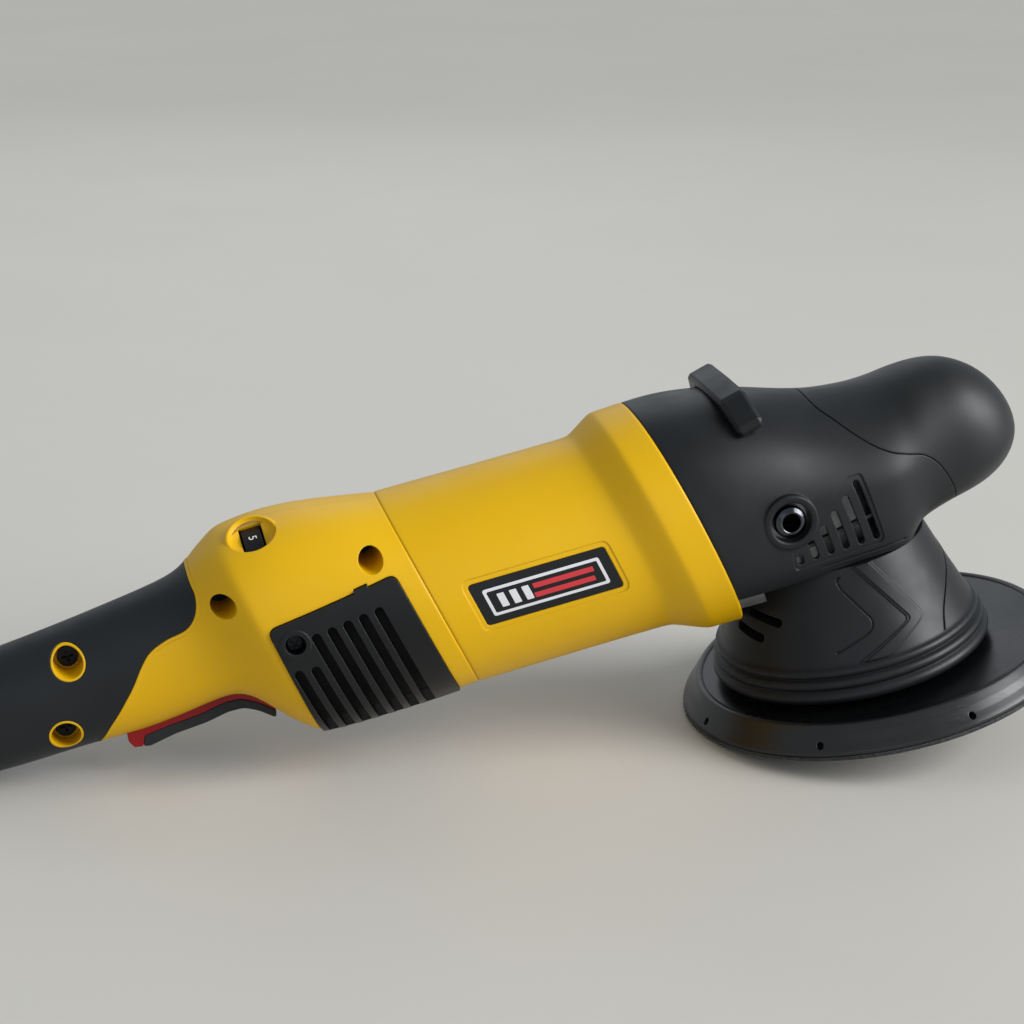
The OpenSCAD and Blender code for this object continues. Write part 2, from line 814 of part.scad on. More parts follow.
module rest_bumper() {
  color([0.12, 0.12, 0.13]) moulding() difference() {
    leaning(-20.2) translate([-bumper_wide / 2, 0, 0])
      rotate([90, 0, 90]) linear_extrude(bumper_wide) polygon([
        [-22, bumper_top - 0.4], [0, bumper_top], [22, bumper_top - 0.4], [32.6, 37.2],
        [29.6, 33.6], [20, 36], [-20, 36], [-29.6, 33.6], [-32.6, 37.2]
      ]);
    casing(head_rows, 0.03);
  }
}

shroud_low = 13.6;
shroud_neck = 35;

module shroud() {
  color([0.14, 0.15, 0.16]) difference() {
    rotate_extrude() union() {
      polygon([
        [shroud_r - 5.4, shroud_low + 1], [shroud_r - 1.6, shroud_low + 2],
        [shroud_r - 2.4, shroud_low + 6], [48.4, 23.4], [47.4, 27.2], [43.6, 36],
        [39.6, 46], [36.6, 54], [shroud_neck, 59.4], [shroud_neck - 2, 59.4],
        [33.8, 53], [36.8, 45], [40.8, 35], [44.6, 26.6], [46, 20]
      ]);
      translate([shroud_r - 2.2, shroud_low + 2.2]) circle(r = 2.2);
      translate([shroud_r - 3.2, shroud_low + 6.4]) circle(r = 2.1);
      translate([shroud_r - 4.6, shroud_low + 10.2]) circle(r = 2);
    }
    for (a = [205, 214, 223]) rotate([0, 0, a]) translate([38, -1.6, 38]) cube([12, 3.2, 7]);
  }
}

// ---- Eccentric and plate -------------------------------------------------------------------------------
ecc_low = 19;

module eccentric() {
  color([0.55, 0.56, 0.58]) difference() {
    union() {
      up_z(24, ecc_low, ecc_top);
      intersection() {
        difference() {
          up_z(42, ecc_low, 30);
          up_z(20, ecc_low - 1, 31);
        }
        translate([-60, -36, 0]) cube([50, 72, 60]);
      }
    }
    translate([throw, 0, 0]) up_z(14, ecc_low - 1, 38);
    up_z(6, 38, ecc_top + 1);
  }
}

module plate_bearings() {
  translate([throw, 0, 0]) for (z = [20.6, 29.2]) translate([0, 0, z]) bearing(6.02, 14, 8);
}

module plate_shaft() {
  color("silver") translate([throw, 0, 0]) difference() {
    union() {
      up_z(6, 10, 37.4);
      up_z(9, 9, 19.6);
    }
    up_z(3, 8, 24);
  }
}

module plate_bolt() {
  color("dimgray") translate([throw, 0, 0]) difference() {
    union() {
      up_z(6.5, 2.2, 7);
      up_z(3, 7 - eps, 22);
    }
    translate([0, 0, 1]) cylinder(r = 3, h = 4, $fn = 6);
  }
}

module backing_plate() {
  color([0.1, 0.1, 0.11]) translate([throw, 0, 0]) rotate_extrude() difference() {
    polygon([
      [3.2, 7], [9, 7], [9, 1.5], [plate_r - 0.3, 1.5], [plate_r - 0.2, 3.2],
      [plate_r - 2.4, 5.2], [plate_r - 5, 8.6], [plate_r - 7.4, plate_top - 0.5],
      [plate_r - 8.4, plate_top], [plate_r - 12, plate_top - 0.3], [24, plate_top - 0.6],
      [22, plate_top + 0.6], [9, plate_top + 0.6], [9, 9], [3.2, 9]
    ]);
  }
}

module hook_face() {
  color([0.2, 0.2, 0.21]) translate([throw, 0, 0]) rotate_extrude()
    translate([10, 0]) square([plate_r - 10, 1.5]);
}

stand() motor_housing();
stand() label(-1);  // label_right
stand() label(1);  // label_left
stand() handle_shell(-1);  // handle_shell_right
stand() handle_shell(1);  // handle_shell_left
stand() grip_skin(-1);  // grip_skin_right
stand() grip_skin(1);  // grip_skin_left
stand() rear_collar();
stand() cord_clamp();
stand() housing_screws();
stand() speed_dial();
stand() speed_board();
stand() brush_cover(-1);  // brush_cover_right
stand() brush_cover(1);  // brush_cover_left
stand() brush_cover_screws();
stand() trigger();
stand() trigger_pad();
stand() trigger_pin();
stand() switch_body();
stand() switch_plunger();
stand() stator_core();
stand() field_coils();
stand() fan_baffle();
stand() armature_shaft();
stand() armature_core();
stand() armature_windings();
stand() commutator();
stand() cooling_fan();
stand() rear_bearing();
stand() front_bearing();
stand() brush_frame();
stand() brush_holder(-1);  // brush_holder_right
stand() brush_holder(1);  // brush_holder_left
stand() carbon_brush(-1);  // carbon_brush_right
stand() carbon_brush(1);  // carbon_brush_left
stand() brush_spring(-1);  // brush_spring_right
stand() brush_spring(1);  // brush_spring_left
stand() drive_pinion();
stand() bevel_gear();
stand() spindle();
stand() upper_bearing();
stand() lower_bearing();
stand() gear_case();
stand() bearing_plate();
stand() bearing_plate_screws();
stand() flange_screws();
stand() handle_bush(-1);  // handle_bush_right
stand() handle_bush(1);  // handle_bush_left
stand() head_cover();
stand() front_grip();
stand() rest_bumper();
stand() shroud();
stand() eccentric();
stand() plate_bearings();
stand() plate_shaft();
stand() plate_bolt();
stand() backing_plate();
stand() hook_face();
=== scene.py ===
# %% [markdown]
# # A long-throw polisher, dressed for its close-up
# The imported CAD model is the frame: its sizes, joints and inner works stay as they are. This
# lesson models the outer pieces again with smooth surfaces, seams, ribs and rounded edges, gives
# every piece a procedural finish, and sets up a camera and soft light.

# %% Load the frame
import json
import math

import bmesh
import bpy
from mathutils import Matrix, Vector
from mathutils.bvhtree import BVHTree


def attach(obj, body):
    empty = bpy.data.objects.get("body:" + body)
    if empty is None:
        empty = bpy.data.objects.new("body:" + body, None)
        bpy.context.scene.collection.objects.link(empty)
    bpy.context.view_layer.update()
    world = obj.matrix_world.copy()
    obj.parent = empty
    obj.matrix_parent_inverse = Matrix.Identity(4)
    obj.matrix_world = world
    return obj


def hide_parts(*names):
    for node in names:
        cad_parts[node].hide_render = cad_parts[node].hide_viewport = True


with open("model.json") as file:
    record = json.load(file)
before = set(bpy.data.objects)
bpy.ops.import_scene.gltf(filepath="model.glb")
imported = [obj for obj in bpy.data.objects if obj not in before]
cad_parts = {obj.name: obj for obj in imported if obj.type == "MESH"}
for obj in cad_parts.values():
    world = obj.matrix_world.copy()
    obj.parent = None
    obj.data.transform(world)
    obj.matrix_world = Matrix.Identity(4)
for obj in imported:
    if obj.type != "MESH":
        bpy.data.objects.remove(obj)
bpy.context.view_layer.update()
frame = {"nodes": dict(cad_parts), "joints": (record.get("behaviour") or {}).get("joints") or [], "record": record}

# %% [markdown]
# ## Camera and light
# The tool is seen from its right side, a little from above, through a long lens, so that its
# proportions stay true. The main light is a sun as broad as a bright sky, so its shadows are
# soft. Three weak discs add long highlights, as windows would, and a pale surround gives the
# black plastic something to reflect. The Standard view transform keeps the blacks deep.

# %% Camera
VIEW_DOWN = 17.1
VIEW_TURN = 11.6
VIEW_FROM = (-0.167, -0.828, 0.350)
LENS = 84.375
camera = bpy.data.objects.new("camera", bpy.data.cameras.new("camera"))
bpy.context.collection.objects.link(camera)
camera.location = VIEW_FROM
camera.rotation_euler = (math.radians(90 - VIEW_DOWN), 0, math.radians(-VIEW_TURN))
camera.data.lens = LENS
bpy.context.scene.camera = camera
print("camera stands", round(Vector(VIEW_FROM).length, 3), "m from the origin")

# %% Colours: an sRGB hex value becomes linear
def linear(hex_value, alpha=1.0):
    parts = [int(hex_value[i:i + 2], 16) / 255 for i in (1, 3, 5)]
    return (*[c / 12.92 if c < 0.04045 else ((c + 0.055) / 1.055) ** 2.4 for c in parts], alpha)


# %% One helper adds a node, sets its properties, and sets or links its inputs
def add(tree, kind, inputs=None, **settings):
    made = tree.nodes.new("ShaderNode" + kind)
    for name, value in settings.items():
        setattr(made, name, value)
    for name, value in (inputs or {}).items():
        if isinstance(value, bpy.types.NodeSocket):
            tree.links.new(value, made.inputs[name])
        else:
            made.inputs[name].default_value = value
    return made


# %% Soft discs of light
def soft_light(name, place, aim, size, power, tint):
    lamp = bpy.data.lights.new(name, "AREA")
    lamp.shape = "DISK"
    lamp.size = size
    lamp.energy = power
    lamp.color = linear(tint)[:3]
    held = bpy.data.objects.new(name, lamp)
    bpy.context.collection.objects.link(held)
    held.location = place
    held.visible_camera = False
    held.rotation_euler = (Vector(aim) - Vector(place)).to_track_quat("-Z", "Y").to_euler()


soft_light("window_light", (1.3, -0.45, 0.62), (0.02, 0, 0.08), 0.9, 9, "#F8FAFF")
soft_light("fill_light", (-0.5, -1.6, 0.5), (0, 0, 0.05), 1.4, 2.5, "#EAF1FF")
soft_light("back_light", (0.1, 1.3, 0.9), (0, 0, 0.05), 1.2, 2, "#F4F7FF")

# %% Broad daylight, and a pale surround
SUN_POWER = 2.7
SUN_WIDE = 38
SUN_FROM = Vector((0.78, -0.45, 0.54))
SURROUND_POWER = 0.62
daylight = bpy.data.lights.new("daylight", "SUN")
daylight.energy = SUN_POWER
daylight.angle = math.radians(SUN_WIDE)
sun = bpy.data.objects.new("daylight", daylight)
bpy.context.collection.objects.link(sun)
sun.rotation_euler = SUN_FROM.to_track_quat("Z", "Y").to_euler()
surround = bpy.data.worlds.new("pale_surround")
surround.use_nodes = True
background = surround.node_tree.nodes["Background"]
background.inputs["Color"].default_value = linear("#D0D8DD")
background.inputs["Strength"].default_value = SURROUND_POWER
bpy.context.scene.world = surround
bpy.context.scene.view_settings.view_transform = "Standard"
print(len(bpy.data.lights), "lights and a surround")

# %% [markdown]
# ## Working in the tool's own frame
# The tool stands tilted, on the rim of its plate and the end of its handle. Modelling is easier
# upright and in millimetres: the spindle runs up Z through the origin and the motor lies along
# X, with its handle at -X. The joints of the frame say how the tool stands, so one matrix
# carries each finished mesh to its place, and its object stays at the origin.

# %% From the tool's millimetres to the frame's metres
MM = 0.001
joint = {j["name"]: j for j in frame["joints"]}
up = Vector(joint["spindle_spin"]["axis"])
ahead = Vector(joint["motor_spin"]["axis"])
foot = Vector(joint["spindle_spin"]["pos_m"]) - up * 60 * MM
TOOL = Matrix.Translation(foot) @ Matrix((ahead, up.cross(ahead), up)).transposed().to_4x4()
TOOL = TOOL @ Matrix.Scale(MM, 4)
print("tool leans", round(math.degrees(math.asin(ahead.z)), 2), "degrees")

# %% Driving sizes, in millimetres
MOTOR_Z = 85.0
MOTOR_R = 39.0
SEAM_TURN = math.radians(14)
LEAN = math.tan(SEAM_TURN)
TAIL_SEAM = -153.5
HEAD_SEAM = -54.0
COLLAR_SEAM = -320.0
COLLAR_END = -345.0
COLLAR_R = 21.5
WALL = 2.4
SKIN = 2.1
ORBIT = 7.5
SHROUD_R = 53.4
SHROUD_LOW = 13.6
COVER_LOW = 60.0
BUSH_X = -24.0
COVER_HALF = 41.0
# A cutting shape goes this far out to each side, and this high.
REACH = 60
HEADROOM = 160

# %% [markdown]
# ## Tools for modelling
# A casing is a ring that is extruded from row to row, as a loft, and smoothed by subdivision.
# Openings, seams and recesses are cut with booleans by flat outlines that are extruded across
# the tool. Cut edges stay sharp in the mesh, because a bevel tears where many cuts meet, and
# the finishes round them in the light instead.

# %% Selecting, editing and applying
def only(piece):
    bpy.ops.object.select_all(action="DESELECT")
    piece.select_set(True)
    bpy.context.view_layer.objects.active = piece


def edit(piece, level="VERT"):
    only(piece)
    bpy.ops.object.mode_set(mode="EDIT")
    bpy.ops.mesh.select_mode(type=level)
    bpy.ops.mesh.select_all(action="SELECT")
    return bmesh.from_edit_mesh(piece.data)


def done(piece):
    bmesh.update_edit_mesh(piece.data)
    bpy.ops.object.mode_set(mode="OBJECT")
    return piece


def apply(piece, kind, **settings):
    only(piece)
    step = piece.modifiers.new(kind.lower(), kind)
    for name, value in settings.items():
        setattr(step, name, value)
    bpy.ops.object.modifier_apply(modifier=step.name)
    return piece


def combine(piece, tool, how="DIFFERENCE", keep=False):
    apply(piece, "BOOLEAN", operation=how, object=tool, solver="MANIFOLD")
    if not keep:
        bpy.data.objects.remove(tool)
    return piece


def copy_of(piece):
    twin = piece.copy()
    twin.data = piece.data.copy()
    bpy.context.collection.objects.link(twin)
    return twin


def join(first, *others):
    only(first)
    for other in others:
        other.select_set(True)
    bpy.ops.object.join()
    return first


# %% A ring of corners, set to its place in code
def ring_of(points, fill="NGON"):
    """A closed ring, moved corner by corner to its place."""
    bpy.ops.object.select_all(action="DESELECT")
    bpy.ops.mesh.primitive_circle_add(vertices=len(points), radius=1, fill_type=fill)
    ring = bpy.context.object
    for vertex, point in zip(ring.data.vertices, points):
        vertex.co = point
    return ring


# %% Rounded outlines
def rounded(points, radius, steps=5):
    """Rounds the corners of a closed outline; radius is one size or one for each corner."""
    outline = []
    sizes = radius if isinstance(radius, (list, tuple)) else [radius] * len(points)
    for i, (corner, size) in enumerate(zip(points, sizes)):
        corner = Vector(corner)
        back = Vector(points[i - 1]) - corner
        ahead_of = Vector(points[(i + 1) % len(points)]) - corner
        if size <= 0:
            outline.append(tuple(corner))
            continue
        turn = back.angle(ahead_of)
        reach = min(size / math.tan(turn / 2), back.length * 0.48, ahead_of.length * 0.48)
        start = corner + back.normalized() * reach
        end = corner + ahead_of.normalized() * reach
        for k in range(steps + 1):
            t = k / steps
            outline.append(tuple(start * (1 - t) ** 2 + corner * 2 * t * (1 - t) + end * t * t))
    return outline


# %% Curved lines, and strips along them
def smooth_line(points, steps=6):
    """A curve through the points, by Catmull and Rom's formula."""
    made = []
    for i in range(len(points) - 1):
        p = [Vector(points[min(max(i + k, 0), len(points) - 1)]) for k in (-1, 0, 1, 2)]
        for s in range(steps):
            t = s / steps
            squared = (2 * p[0] - 5 * p[1] + 4 * p[2] - p[3]) * t * t
            cubed = (3 * p[1] - p[0] - 3 * p[2] + p[3]) * t ** 3
            made.append(tuple(0.5 * (2 * p[1] + (p[2] - p[0]) * t + squared + cubed)))
    return made + [tuple(points[-1])]


def offset_line(points, distance):
    """The same line, moved to its left by a distance."""
    made = []
    for i, point in enumerate(points):
        along = Vector(points[min(i + 1, len(points) - 1)]) - Vector(points[max(i - 1, 0)])
        made.append(tuple(Vector(point) + Vector((-along.y, along.x)).normalized() * distance))
    return made


def strip(line, first, second):
    """The outline of a strip along a line, between two distances to its left."""
    return offset_line(line, first) + offset_line(line, second)[::-1]


# %% A stack of rings with the same number of corners
def stack(rings):
    """Extrudes the first ring to each of the others in turn, and closes both ends."""
    made = ring_of(rings[0])
    edit(made, "FACE")
    for ring in rings[1:]:
        bpy.ops.mesh.extrude_region_move(TRANSFORM_OT_translate={"value": (0, 0, 0)})
        mesh = bmesh.from_edit_mesh(made.data)
        mesh.faces.ensure_lookup_table()
        cap = next(f for f in mesh.faces if f.select)
        for vertex, point in zip(cap.verts, ring):
            vertex.co = point
        bmesh.update_edit_mesh(made.data)
    bpy.ops.mesh.select_all(action="SELECT")
    bpy.ops.mesh.normals_make_consistent(inside=False)
    return done(made)


# %% A flat outline, extruded
def extruded(corners, move):
    slab = ring_of(corners)
    edit(slab, "FACE")
    bpy.ops.mesh.extrude_region_move(TRANSFORM_OT_translate={"value": move})
    bpy.ops.mesh.select_all(action="SELECT")
    bpy.ops.mesh.normals_make_consistent(inside=False)
    return done(slab)


def across(outline, y0=-REACH, y1=REACH):
    """An outline in X and Z, extruded across the tool."""
    return extruded([(x, y0, z) for x, z in outline], (0, y1 - y0, 0))


# %% A closed outline of radius and height, spun round Z
def lathe(profile, steps=128, place=None):
    turned = ring_of([(r, 0, z) for r, z in profile], "NOTHING")
    edit(turned)
    bpy.ops.mesh.spin(steps=steps, angle=math.tau, center=(0, 0, 0), axis=(0, 0, 1))
    bpy.ops.mesh.select_all(action="SELECT")
    bpy.ops.mesh.remove_doubles(threshold=0.002)
    bpy.ops.mesh.normals_make_consistent(inside=False)
    done(turned)
    if place:
        turned.data.transform(place)
    return turned


# %% A round bar from one point to another
def bar(radius, start, end, corners=48, radius_end=None):
    start, end = Vector(start), Vector(end)
    bpy.ops.object.select_all(action="DESELECT")
    bpy.ops.mesh.primitive_cone_add(vertices=corners, radius1=radius, depth=(end - start).length,
                                    radius2=radius if radius_end is None else radius_end)
    made = bpy.context.object
    turn = (end - start).to_track_quat("Z", "Y").to_matrix().to_4x4()
    made.data.transform(Matrix.Translation((start + end) / 2) @ turn)
    return made


def block(low, high):
    low, high = Vector(low), Vector(high)
    bpy.ops.object.select_all(action="DESELECT")
    bpy.ops.mesh.primitive_cube_add(size=1)
    made = bpy.context.object
    size = high - low
    made.data.transform(Matrix.Translation((low + high) / 2) @ Matrix.Diagonal((*size, 1)))
    return made


# %% Halves, and places on the motor's leaning seams
def half_of(piece, side):
    """A copy of what lies on one side of the tool's middle."""
    y0, y1 = (0.01, 100) if side > 0 else (-100, -0.01)
    return combine(copy_of(piece), block((-400, y0, 0), (-100, y1, HEADROOM)), "INTERSECT")


def leaning(x):
    return Matrix.Translation((x, 0, MOTOR_Z)) @ Matrix.Rotation(-SEAM_TURN, 4, "Y")


# %% The loft
SIDES = 36
SMOOTHING = 2
LIP = 0.45


def round_square(value, n):
    return math.copysign(abs(value) ** (2 / n), value)


def row_point(row, turn, grow):
    x, wide, above, below, square, lean = row[:6]
    n = row[6] if len(row) > 6 and math.sin(turn) > 0 else square
    rise = round_square(math.sin(turn), n)
    z = rise * (grow + (above if rise > 0 else below))
    return Vector((x - lean * z, round_square(math.cos(turn), n) * (wide + grow), MOTOR_Z + z))


def loft(rows, grow=0.0, ends=(0.0, 0.0)):
    """Extrudes a ring from row to row, sets each ring to its row, and smooths it."""
    turns = [math.tau * k / SIDES for k in range(SIDES)]
    rings = [[row_point(row, t, grow) for t in turns] for row in rows]
    rings[0] = [p + Vector((ends[0], 0, 0)) for p in rings[0]]
    rings[-1] = [p + Vector((ends[1], 0, 0)) for p in rings[-1]]
    shell = stack(rings)
    mesh = edit(shell, "FACE")
    for face in mesh.faces:
        face.select = len(face.verts) == SIDES
    mesh.select_flush(True)
    bmesh.update_edit_mesh(shell.data)
    bpy.ops.transform.edge_crease(value=1)
    done(shell)
    return apply(shell, "SUBSURF", levels=SMOOTHING, render_levels=SMOOTHING)


def lipped(rows, last=True):
    """Draws the ends of a casing in a little, so that a seam between two casings is a groove."""
    def drawn(row, inwards, along):
        return (row[0] + along, row[1] - inwards, row[2] - inwards, row[3] - inwards, *row[4:])
    start, end = rows[0], rows[-1]
    made = [drawn(start, LIP, 0), drawn(start, 0, LIP), drawn(start, 0, 3 * LIP), *rows[1:]]
    if last:
        made[-1:] = [drawn(end, 0, -3 * LIP), drawn(end, 0, -LIP), drawn(end, LIP, 0)]
    return made


# %% [markdown]
# ## From the bench to its place
# A finished mesh goes to its place, takes its finishes and rides on its body. Its faces keep
# the numbers of their finishes, and turns under 32 degrees are shaded as one smooth surface.

# %% Painting and settling a piece
SMOOTH_UNDER = 32


def painted(piece, finishes, number):
    """Gives a piece its list of finishes, and one of them to all its faces."""
    piece.data.materials.clear()
    for finish in finishes:
        piece.data.materials.append(finish)
    for face in piece.data.polygons:
        face.material_index = number
    return piece


def settle(piece, name, body, slot, finishes, *nodes):
    numbers = [face.material_index for face in piece.data.polygons]
    piece.name = piece.data.name = name
    piece.data.transform(TOOL)
    only(piece)
    bpy.ops.object.shade_smooth_by_angle(angle=math.radians(SMOOTH_UNDER))
    apply(piece, "WEIGHTED_NORMAL", keep_sharp=True, weight=60)
    finishes = finishes if isinstance(finishes, (list, tuple)) else [finishes]
    painted(piece, finishes, 0)
    if len(finishes) > 1:
        piece.data.polygons.foreach_set("material_index", numbers)
    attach(piece, body)
    if nodes:
        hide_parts(*nodes)
    print(name, len(piece.data.polygons), "faces")
    return piece

# %% [markdown]
# ## Finishes
# Most of the tool is injection-moulded plastic. Its mould was spark-eroded, which leaves a fine
# grain. So each plastic mixes two close shades over patches some centimetres wide, has a grain
# in its bump, and has a painted highlight along its edges: a lighter edge colour is mixed in
# there, and a Bevel node rounds the edges in the light.

# %% Patterns at a real size
def grain(tree, pitch, stretch=(1, 1, 1), detail=3.0):
    """Noise with features about pitch millimetres wide, on the object's own coordinates."""
    where = add(tree, "TexCoord")
    placed = add(tree, "Mapping", {"Vector": where.outputs["Object"], "Scale": stretch})
    return add(tree, "TexNoise", {"Vector": placed.outputs[0], "Scale": 1000 / pitch,
                                  "Detail": detail}).outputs["Fac"]


def spread(tree, value, low, high, start=0.3, end=0.7):
    return add(tree, "MapRange", {"Value": value, "From Min": start, "From Max": end,
                                  "To Min": low, "To Max": high}).outputs["Result"]


def blend(tree, share, first, second):
    mixed = add(tree, "Mix", data_type="RGBA")
    for number, value in ((0, share), (6, first), (7, second)):
        if isinstance(value, bpy.types.NodeSocket):
            tree.links.new(value, mixed.inputs[number])
        else:
            mixed.inputs[number].default_value = value
    return mixed.outputs[2]


def blank(name):
    finish = bpy.data.materials.new(name)
    finish.use_nodes = True
    return finish, finish.node_tree, finish.node_tree.nodes["Principled BSDF"]


def edges(tree, radius):
    """Where the surface turns sharply: 0 on a face and 1 on an edge."""
    round_over = add(tree, "Bevel", {"Radius": radius * MM}, samples=4)
    face = add(tree, "NewGeometry")
    along = add(tree, "VectorMath", {0: round_over.outputs[0], 1: face.outputs["Normal"]},
                operation="DOT_PRODUCT")
    return round_over.outputs[0], spread(tree, along.outputs["Value"], 1.0, 0.0, 0.72, 0.985)


# %% Injection-moulded plastic
# The edge argument is a lighter colour, a painted highlight along sharp edges.
def moulded(name, body, patch, edge, shine, grain_pitch, grain_height, radius=0.6, gloss=0.3):
    finish, tree, shader = blank(name)
    normal, rim = edges(tree, radius)
    patches = spread(tree, grain(tree, 45), 0, 1, 0.35, 0.65)
    shade = blend(tree, patches, linear(body), linear(patch))
    # Painted highlight: the edge mask mixes half of the lighter edge colour into the base colour.
    edge_highlight_share = add(tree, "Math", {0: rim, 1: 0.5}, operation="MULTIPLY").outputs[0]
    tree.links.new(blend(tree, edge_highlight_share, shade, linear(edge)), shader.inputs["Base Color"])
    tree.links.new(spread(tree, grain(tree, 14), *shine), shader.inputs["Roughness"])
    bump = add(tree, "Bump", {"Height": grain(tree, grain_pitch), "Distance": grain_height * MM,
                              "Strength": 1.0, "Normal": normal})
    tree.links.new(bump.outputs[0], shader.inputs["Normal"])
    shader.inputs["IOR"].default_value = 1.5
    shader.inputs["Specular IOR Level"].default_value = gloss
    return finish


# Satin ABS, warm yellow: smooth to the eye, with a broad soft highlight.
yellow = moulded("satin_yellow_abs", "#DDAC00", "#D8A700", "#EBBE18", (0.38, 0.48), 0.7, 0.012)
# Glass-filled nylon, charcoal: a matt, slightly mottled skin.
charcoal = moulded("glass_filled_nylon", "#121416", "#16181B", "#2E3134", (0.38, 0.5), 0.6, 0.02)
# The vent covers are smoother, so their ribs catch some real light, and a light grey edge colour paints a thin
# highlight along them.
cover_black = moulded("smooth_black_nylon", "#0F1012", "#131416", "#4C4F53",
                      (0.3, 0.4), 0.8, 0.008, 0.5)
# The floor of a slot is painted near-black and made duller, as painted shade deep in the slot.
slot_shade_black = moulded("painted_shade_slot_floor", "#050505", "#080808", "#0A0A0A",
                     (0.7, 0.85), 0.8, 0.008, 0.3)
red = moulded("satin_red_abs", "#8E0F12", "#870C10", "#B02A2A", (0.3, 0.4), 0.7, 0.01)
# Acetal wears well and looks a little waxy.
dial_black = moulded("dial_acetal", "#0C0C0D", "#101011", "#2C2D2E", (0.3, 0.4), 0.8, 0.006, 0.3)
white = moulded("white_acetal", "#E9E7E1", "#E3E1DA", "#F4F2EE", (0.35, 0.45), 0.8, 0.008, 0.3)
print(len(bpy.data.materials), "finishes so far")

# %% [markdown]
# ## Rubber and urethane
# The grip is a thermoplastic rubber moulded over the shell. It is darker and duller than the
# nylon, and a weak sheen at grazing angles gives it its soft look. The plate is cast urethane
# with a skin so smooth that it mirrors the room.

# %% Soft-touch rubber and cast urethane
def rubber(name, body, patch, shine, grain_pitch, grain_height, sheen):
    # The edge colour #3C3F42 is a painted highlight along the rubber's edges.
    finish = moulded(name, body, patch, "#3C3F42", shine, grain_pitch, grain_height, 0.8)
    shader = finish.node_tree.nodes["Principled BSDF"]
    shader.inputs["Sheen Weight"].default_value = sheen
    shader.inputs["Sheen Roughness"].default_value = 0.4
    return finish


grip_rubber = rubber("soft_touch_rubber", "#14171A", "#191C1F", (0.46, 0.6), 0.5, 0.03, 0.05)
head_rubber = rubber("head_grip_rubber", "#131517", "#17191B", (0.42, 0.52), 0.5, 0.022, 0.04)
pad_rubber = rubber("trigger_rubber", "#1D2022", "#232628", (0.55, 0.68), 0.5, 0.03, 0.06)


def cast_urethane(name, body, shine, scratch):
    """Glossy black, with hair-fine wiping marks in its roughness."""
    finish, tree, shader = blank(name)
    normal, rim = edges(tree, 0.5)
    # The lighter edge colour #2E3032 is a painted highlight along the edges.
    tree.links.new(blend(tree, rim, linear(body), linear("#2E3032")), shader.inputs["Base Color"])
    marks = spread(tree, grain(tree, 5, (1, 9, 4), 5), 0.0, scratch, 0.5, 0.75)
    wiped = add(tree, "Math", {0: spread(tree, grain(tree, 25), *shine), 1: marks}, operation="ADD")
    tree.links.new(wiped.outputs[0], shader.inputs["Roughness"])
    bump = add(tree, "Bump", {"Height": grain(tree, 9), "Distance": 0.005 * MM, "Normal": normal})
    tree.links.new(bump.outputs[0], shader.inputs["Normal"])
    shader.inputs["IOR"].default_value = 1.52
    return finish


plate_gloss = cast_urethane("glossy_cast_urethane", "#08090A", (0.24, 0.32), 0.1)
plate_rim = cast_urethane("satin_cast_urethane", "#131415", (0.26, 0.34), 0.1)
plate_shader = plate_gloss.node_tree.nodes["Principled BSDF"]
plate_shader.inputs["Specular IOR Level"].default_value = 0.3
print(len(bpy.data.materials), "finishes so far")

# %% [markdown]
# ## Metals
# A metal's colour is in its reflection, so it is metallic with its default IOR. Turned and
# ground parts get grooves in one direction, and a casting gets the lumps of its sand or die.

# %% Metals
def metal(name, body, shine, pitch, height, stretch=(1, 1, 1)):
    finish, tree, shader = blank(name)
    shader.inputs["Metallic"].default_value = 1.0
    shade = blend(tree, spread(tree, grain(tree, 8), 0, 1), linear(body),
                  tuple(0.82 * c for c in linear(body)[:3]) + (1,))
    tree.links.new(shade, shader.inputs["Base Color"])
    streaks = spread(tree, grain(tree, pitch * 2, stretch), *shine)
    tree.links.new(streaks, shader.inputs["Roughness"])
    bump = add(tree, "Bump", {"Height": grain(tree, pitch, stretch), "Distance": height * MM})
    tree.links.new(bump.outputs[0], shader.inputs["Normal"])
    return finish


ground_steel = metal("ground_steel", "#C9CACC", (0.18, 0.3), 0.5, 0.006, (1, 1, 12))
blued_steel = metal("polished_dark_steel", "#4A4C50", (0.12, 0.22), 1.0, 0.004)
oxide_steel = metal("black_oxide_steel", "#26272A", (0.3, 0.42), 0.7, 0.01)
die_cast = metal("die_cast_aluminium", "#B9BABB", (0.38, 0.52), 0.9, 0.04)
iron = metal("machined_cast_iron", "#77787A", (0.35, 0.5), 0.8, 0.03)
lamination = metal("stacked_steel_laminations", "#7C7E82", (0.4, 0.5), 0.5, 0.04, (14, 1, 1))
copper = metal("enamelled_copper_wire", "#B8703A", (0.3, 0.42), 0.6, 0.05, (8, 1, 1))
brass = metal("rolled_brass", "#C9A552", (0.25, 0.38), 0.7, 0.008)
print(len(bpy.data.materials), "finishes so far")

# %% [markdown]
# ## Carbon, circuit board, film and tape
# Four small surfaces. The brushes are pressed carbon, dull and black. The speed board wears a
# green solder mask. The badge is printed polyester film, smoother than the plastic round it,
# and hook tape is a woven nylon with a pile, whose grain is drawn coarser than it is to show.

# %% Carbon, circuit board, film and tape
carbon = moulded("pressed_carbon", "#1A1A1A", "#232323", "#2E2E2E", (0.5, 0.65), 0.5, 0.03, 0.3)
board_green = moulded("solder_masked_board", "#0F5B33", "#0C4F2C", "#1A7A48",
                      (0.3, 0.4), 1.2, 0.01, 0.3)
FILM = [moulded("badge_film_" + ink, body, patch, edge, (0.3, 0.38), 0.8, 0.004, 0.2)
        for ink, body, patch, edge in (("black", "#17181A", "#1A1B1D", "#2A2C2E"),
                                       ("white", "#D9D9DB", "#D3D3D6", "#E6E6E8"),
                                       ("red", "#C8383E", "#C03238", "#D04A50"))]


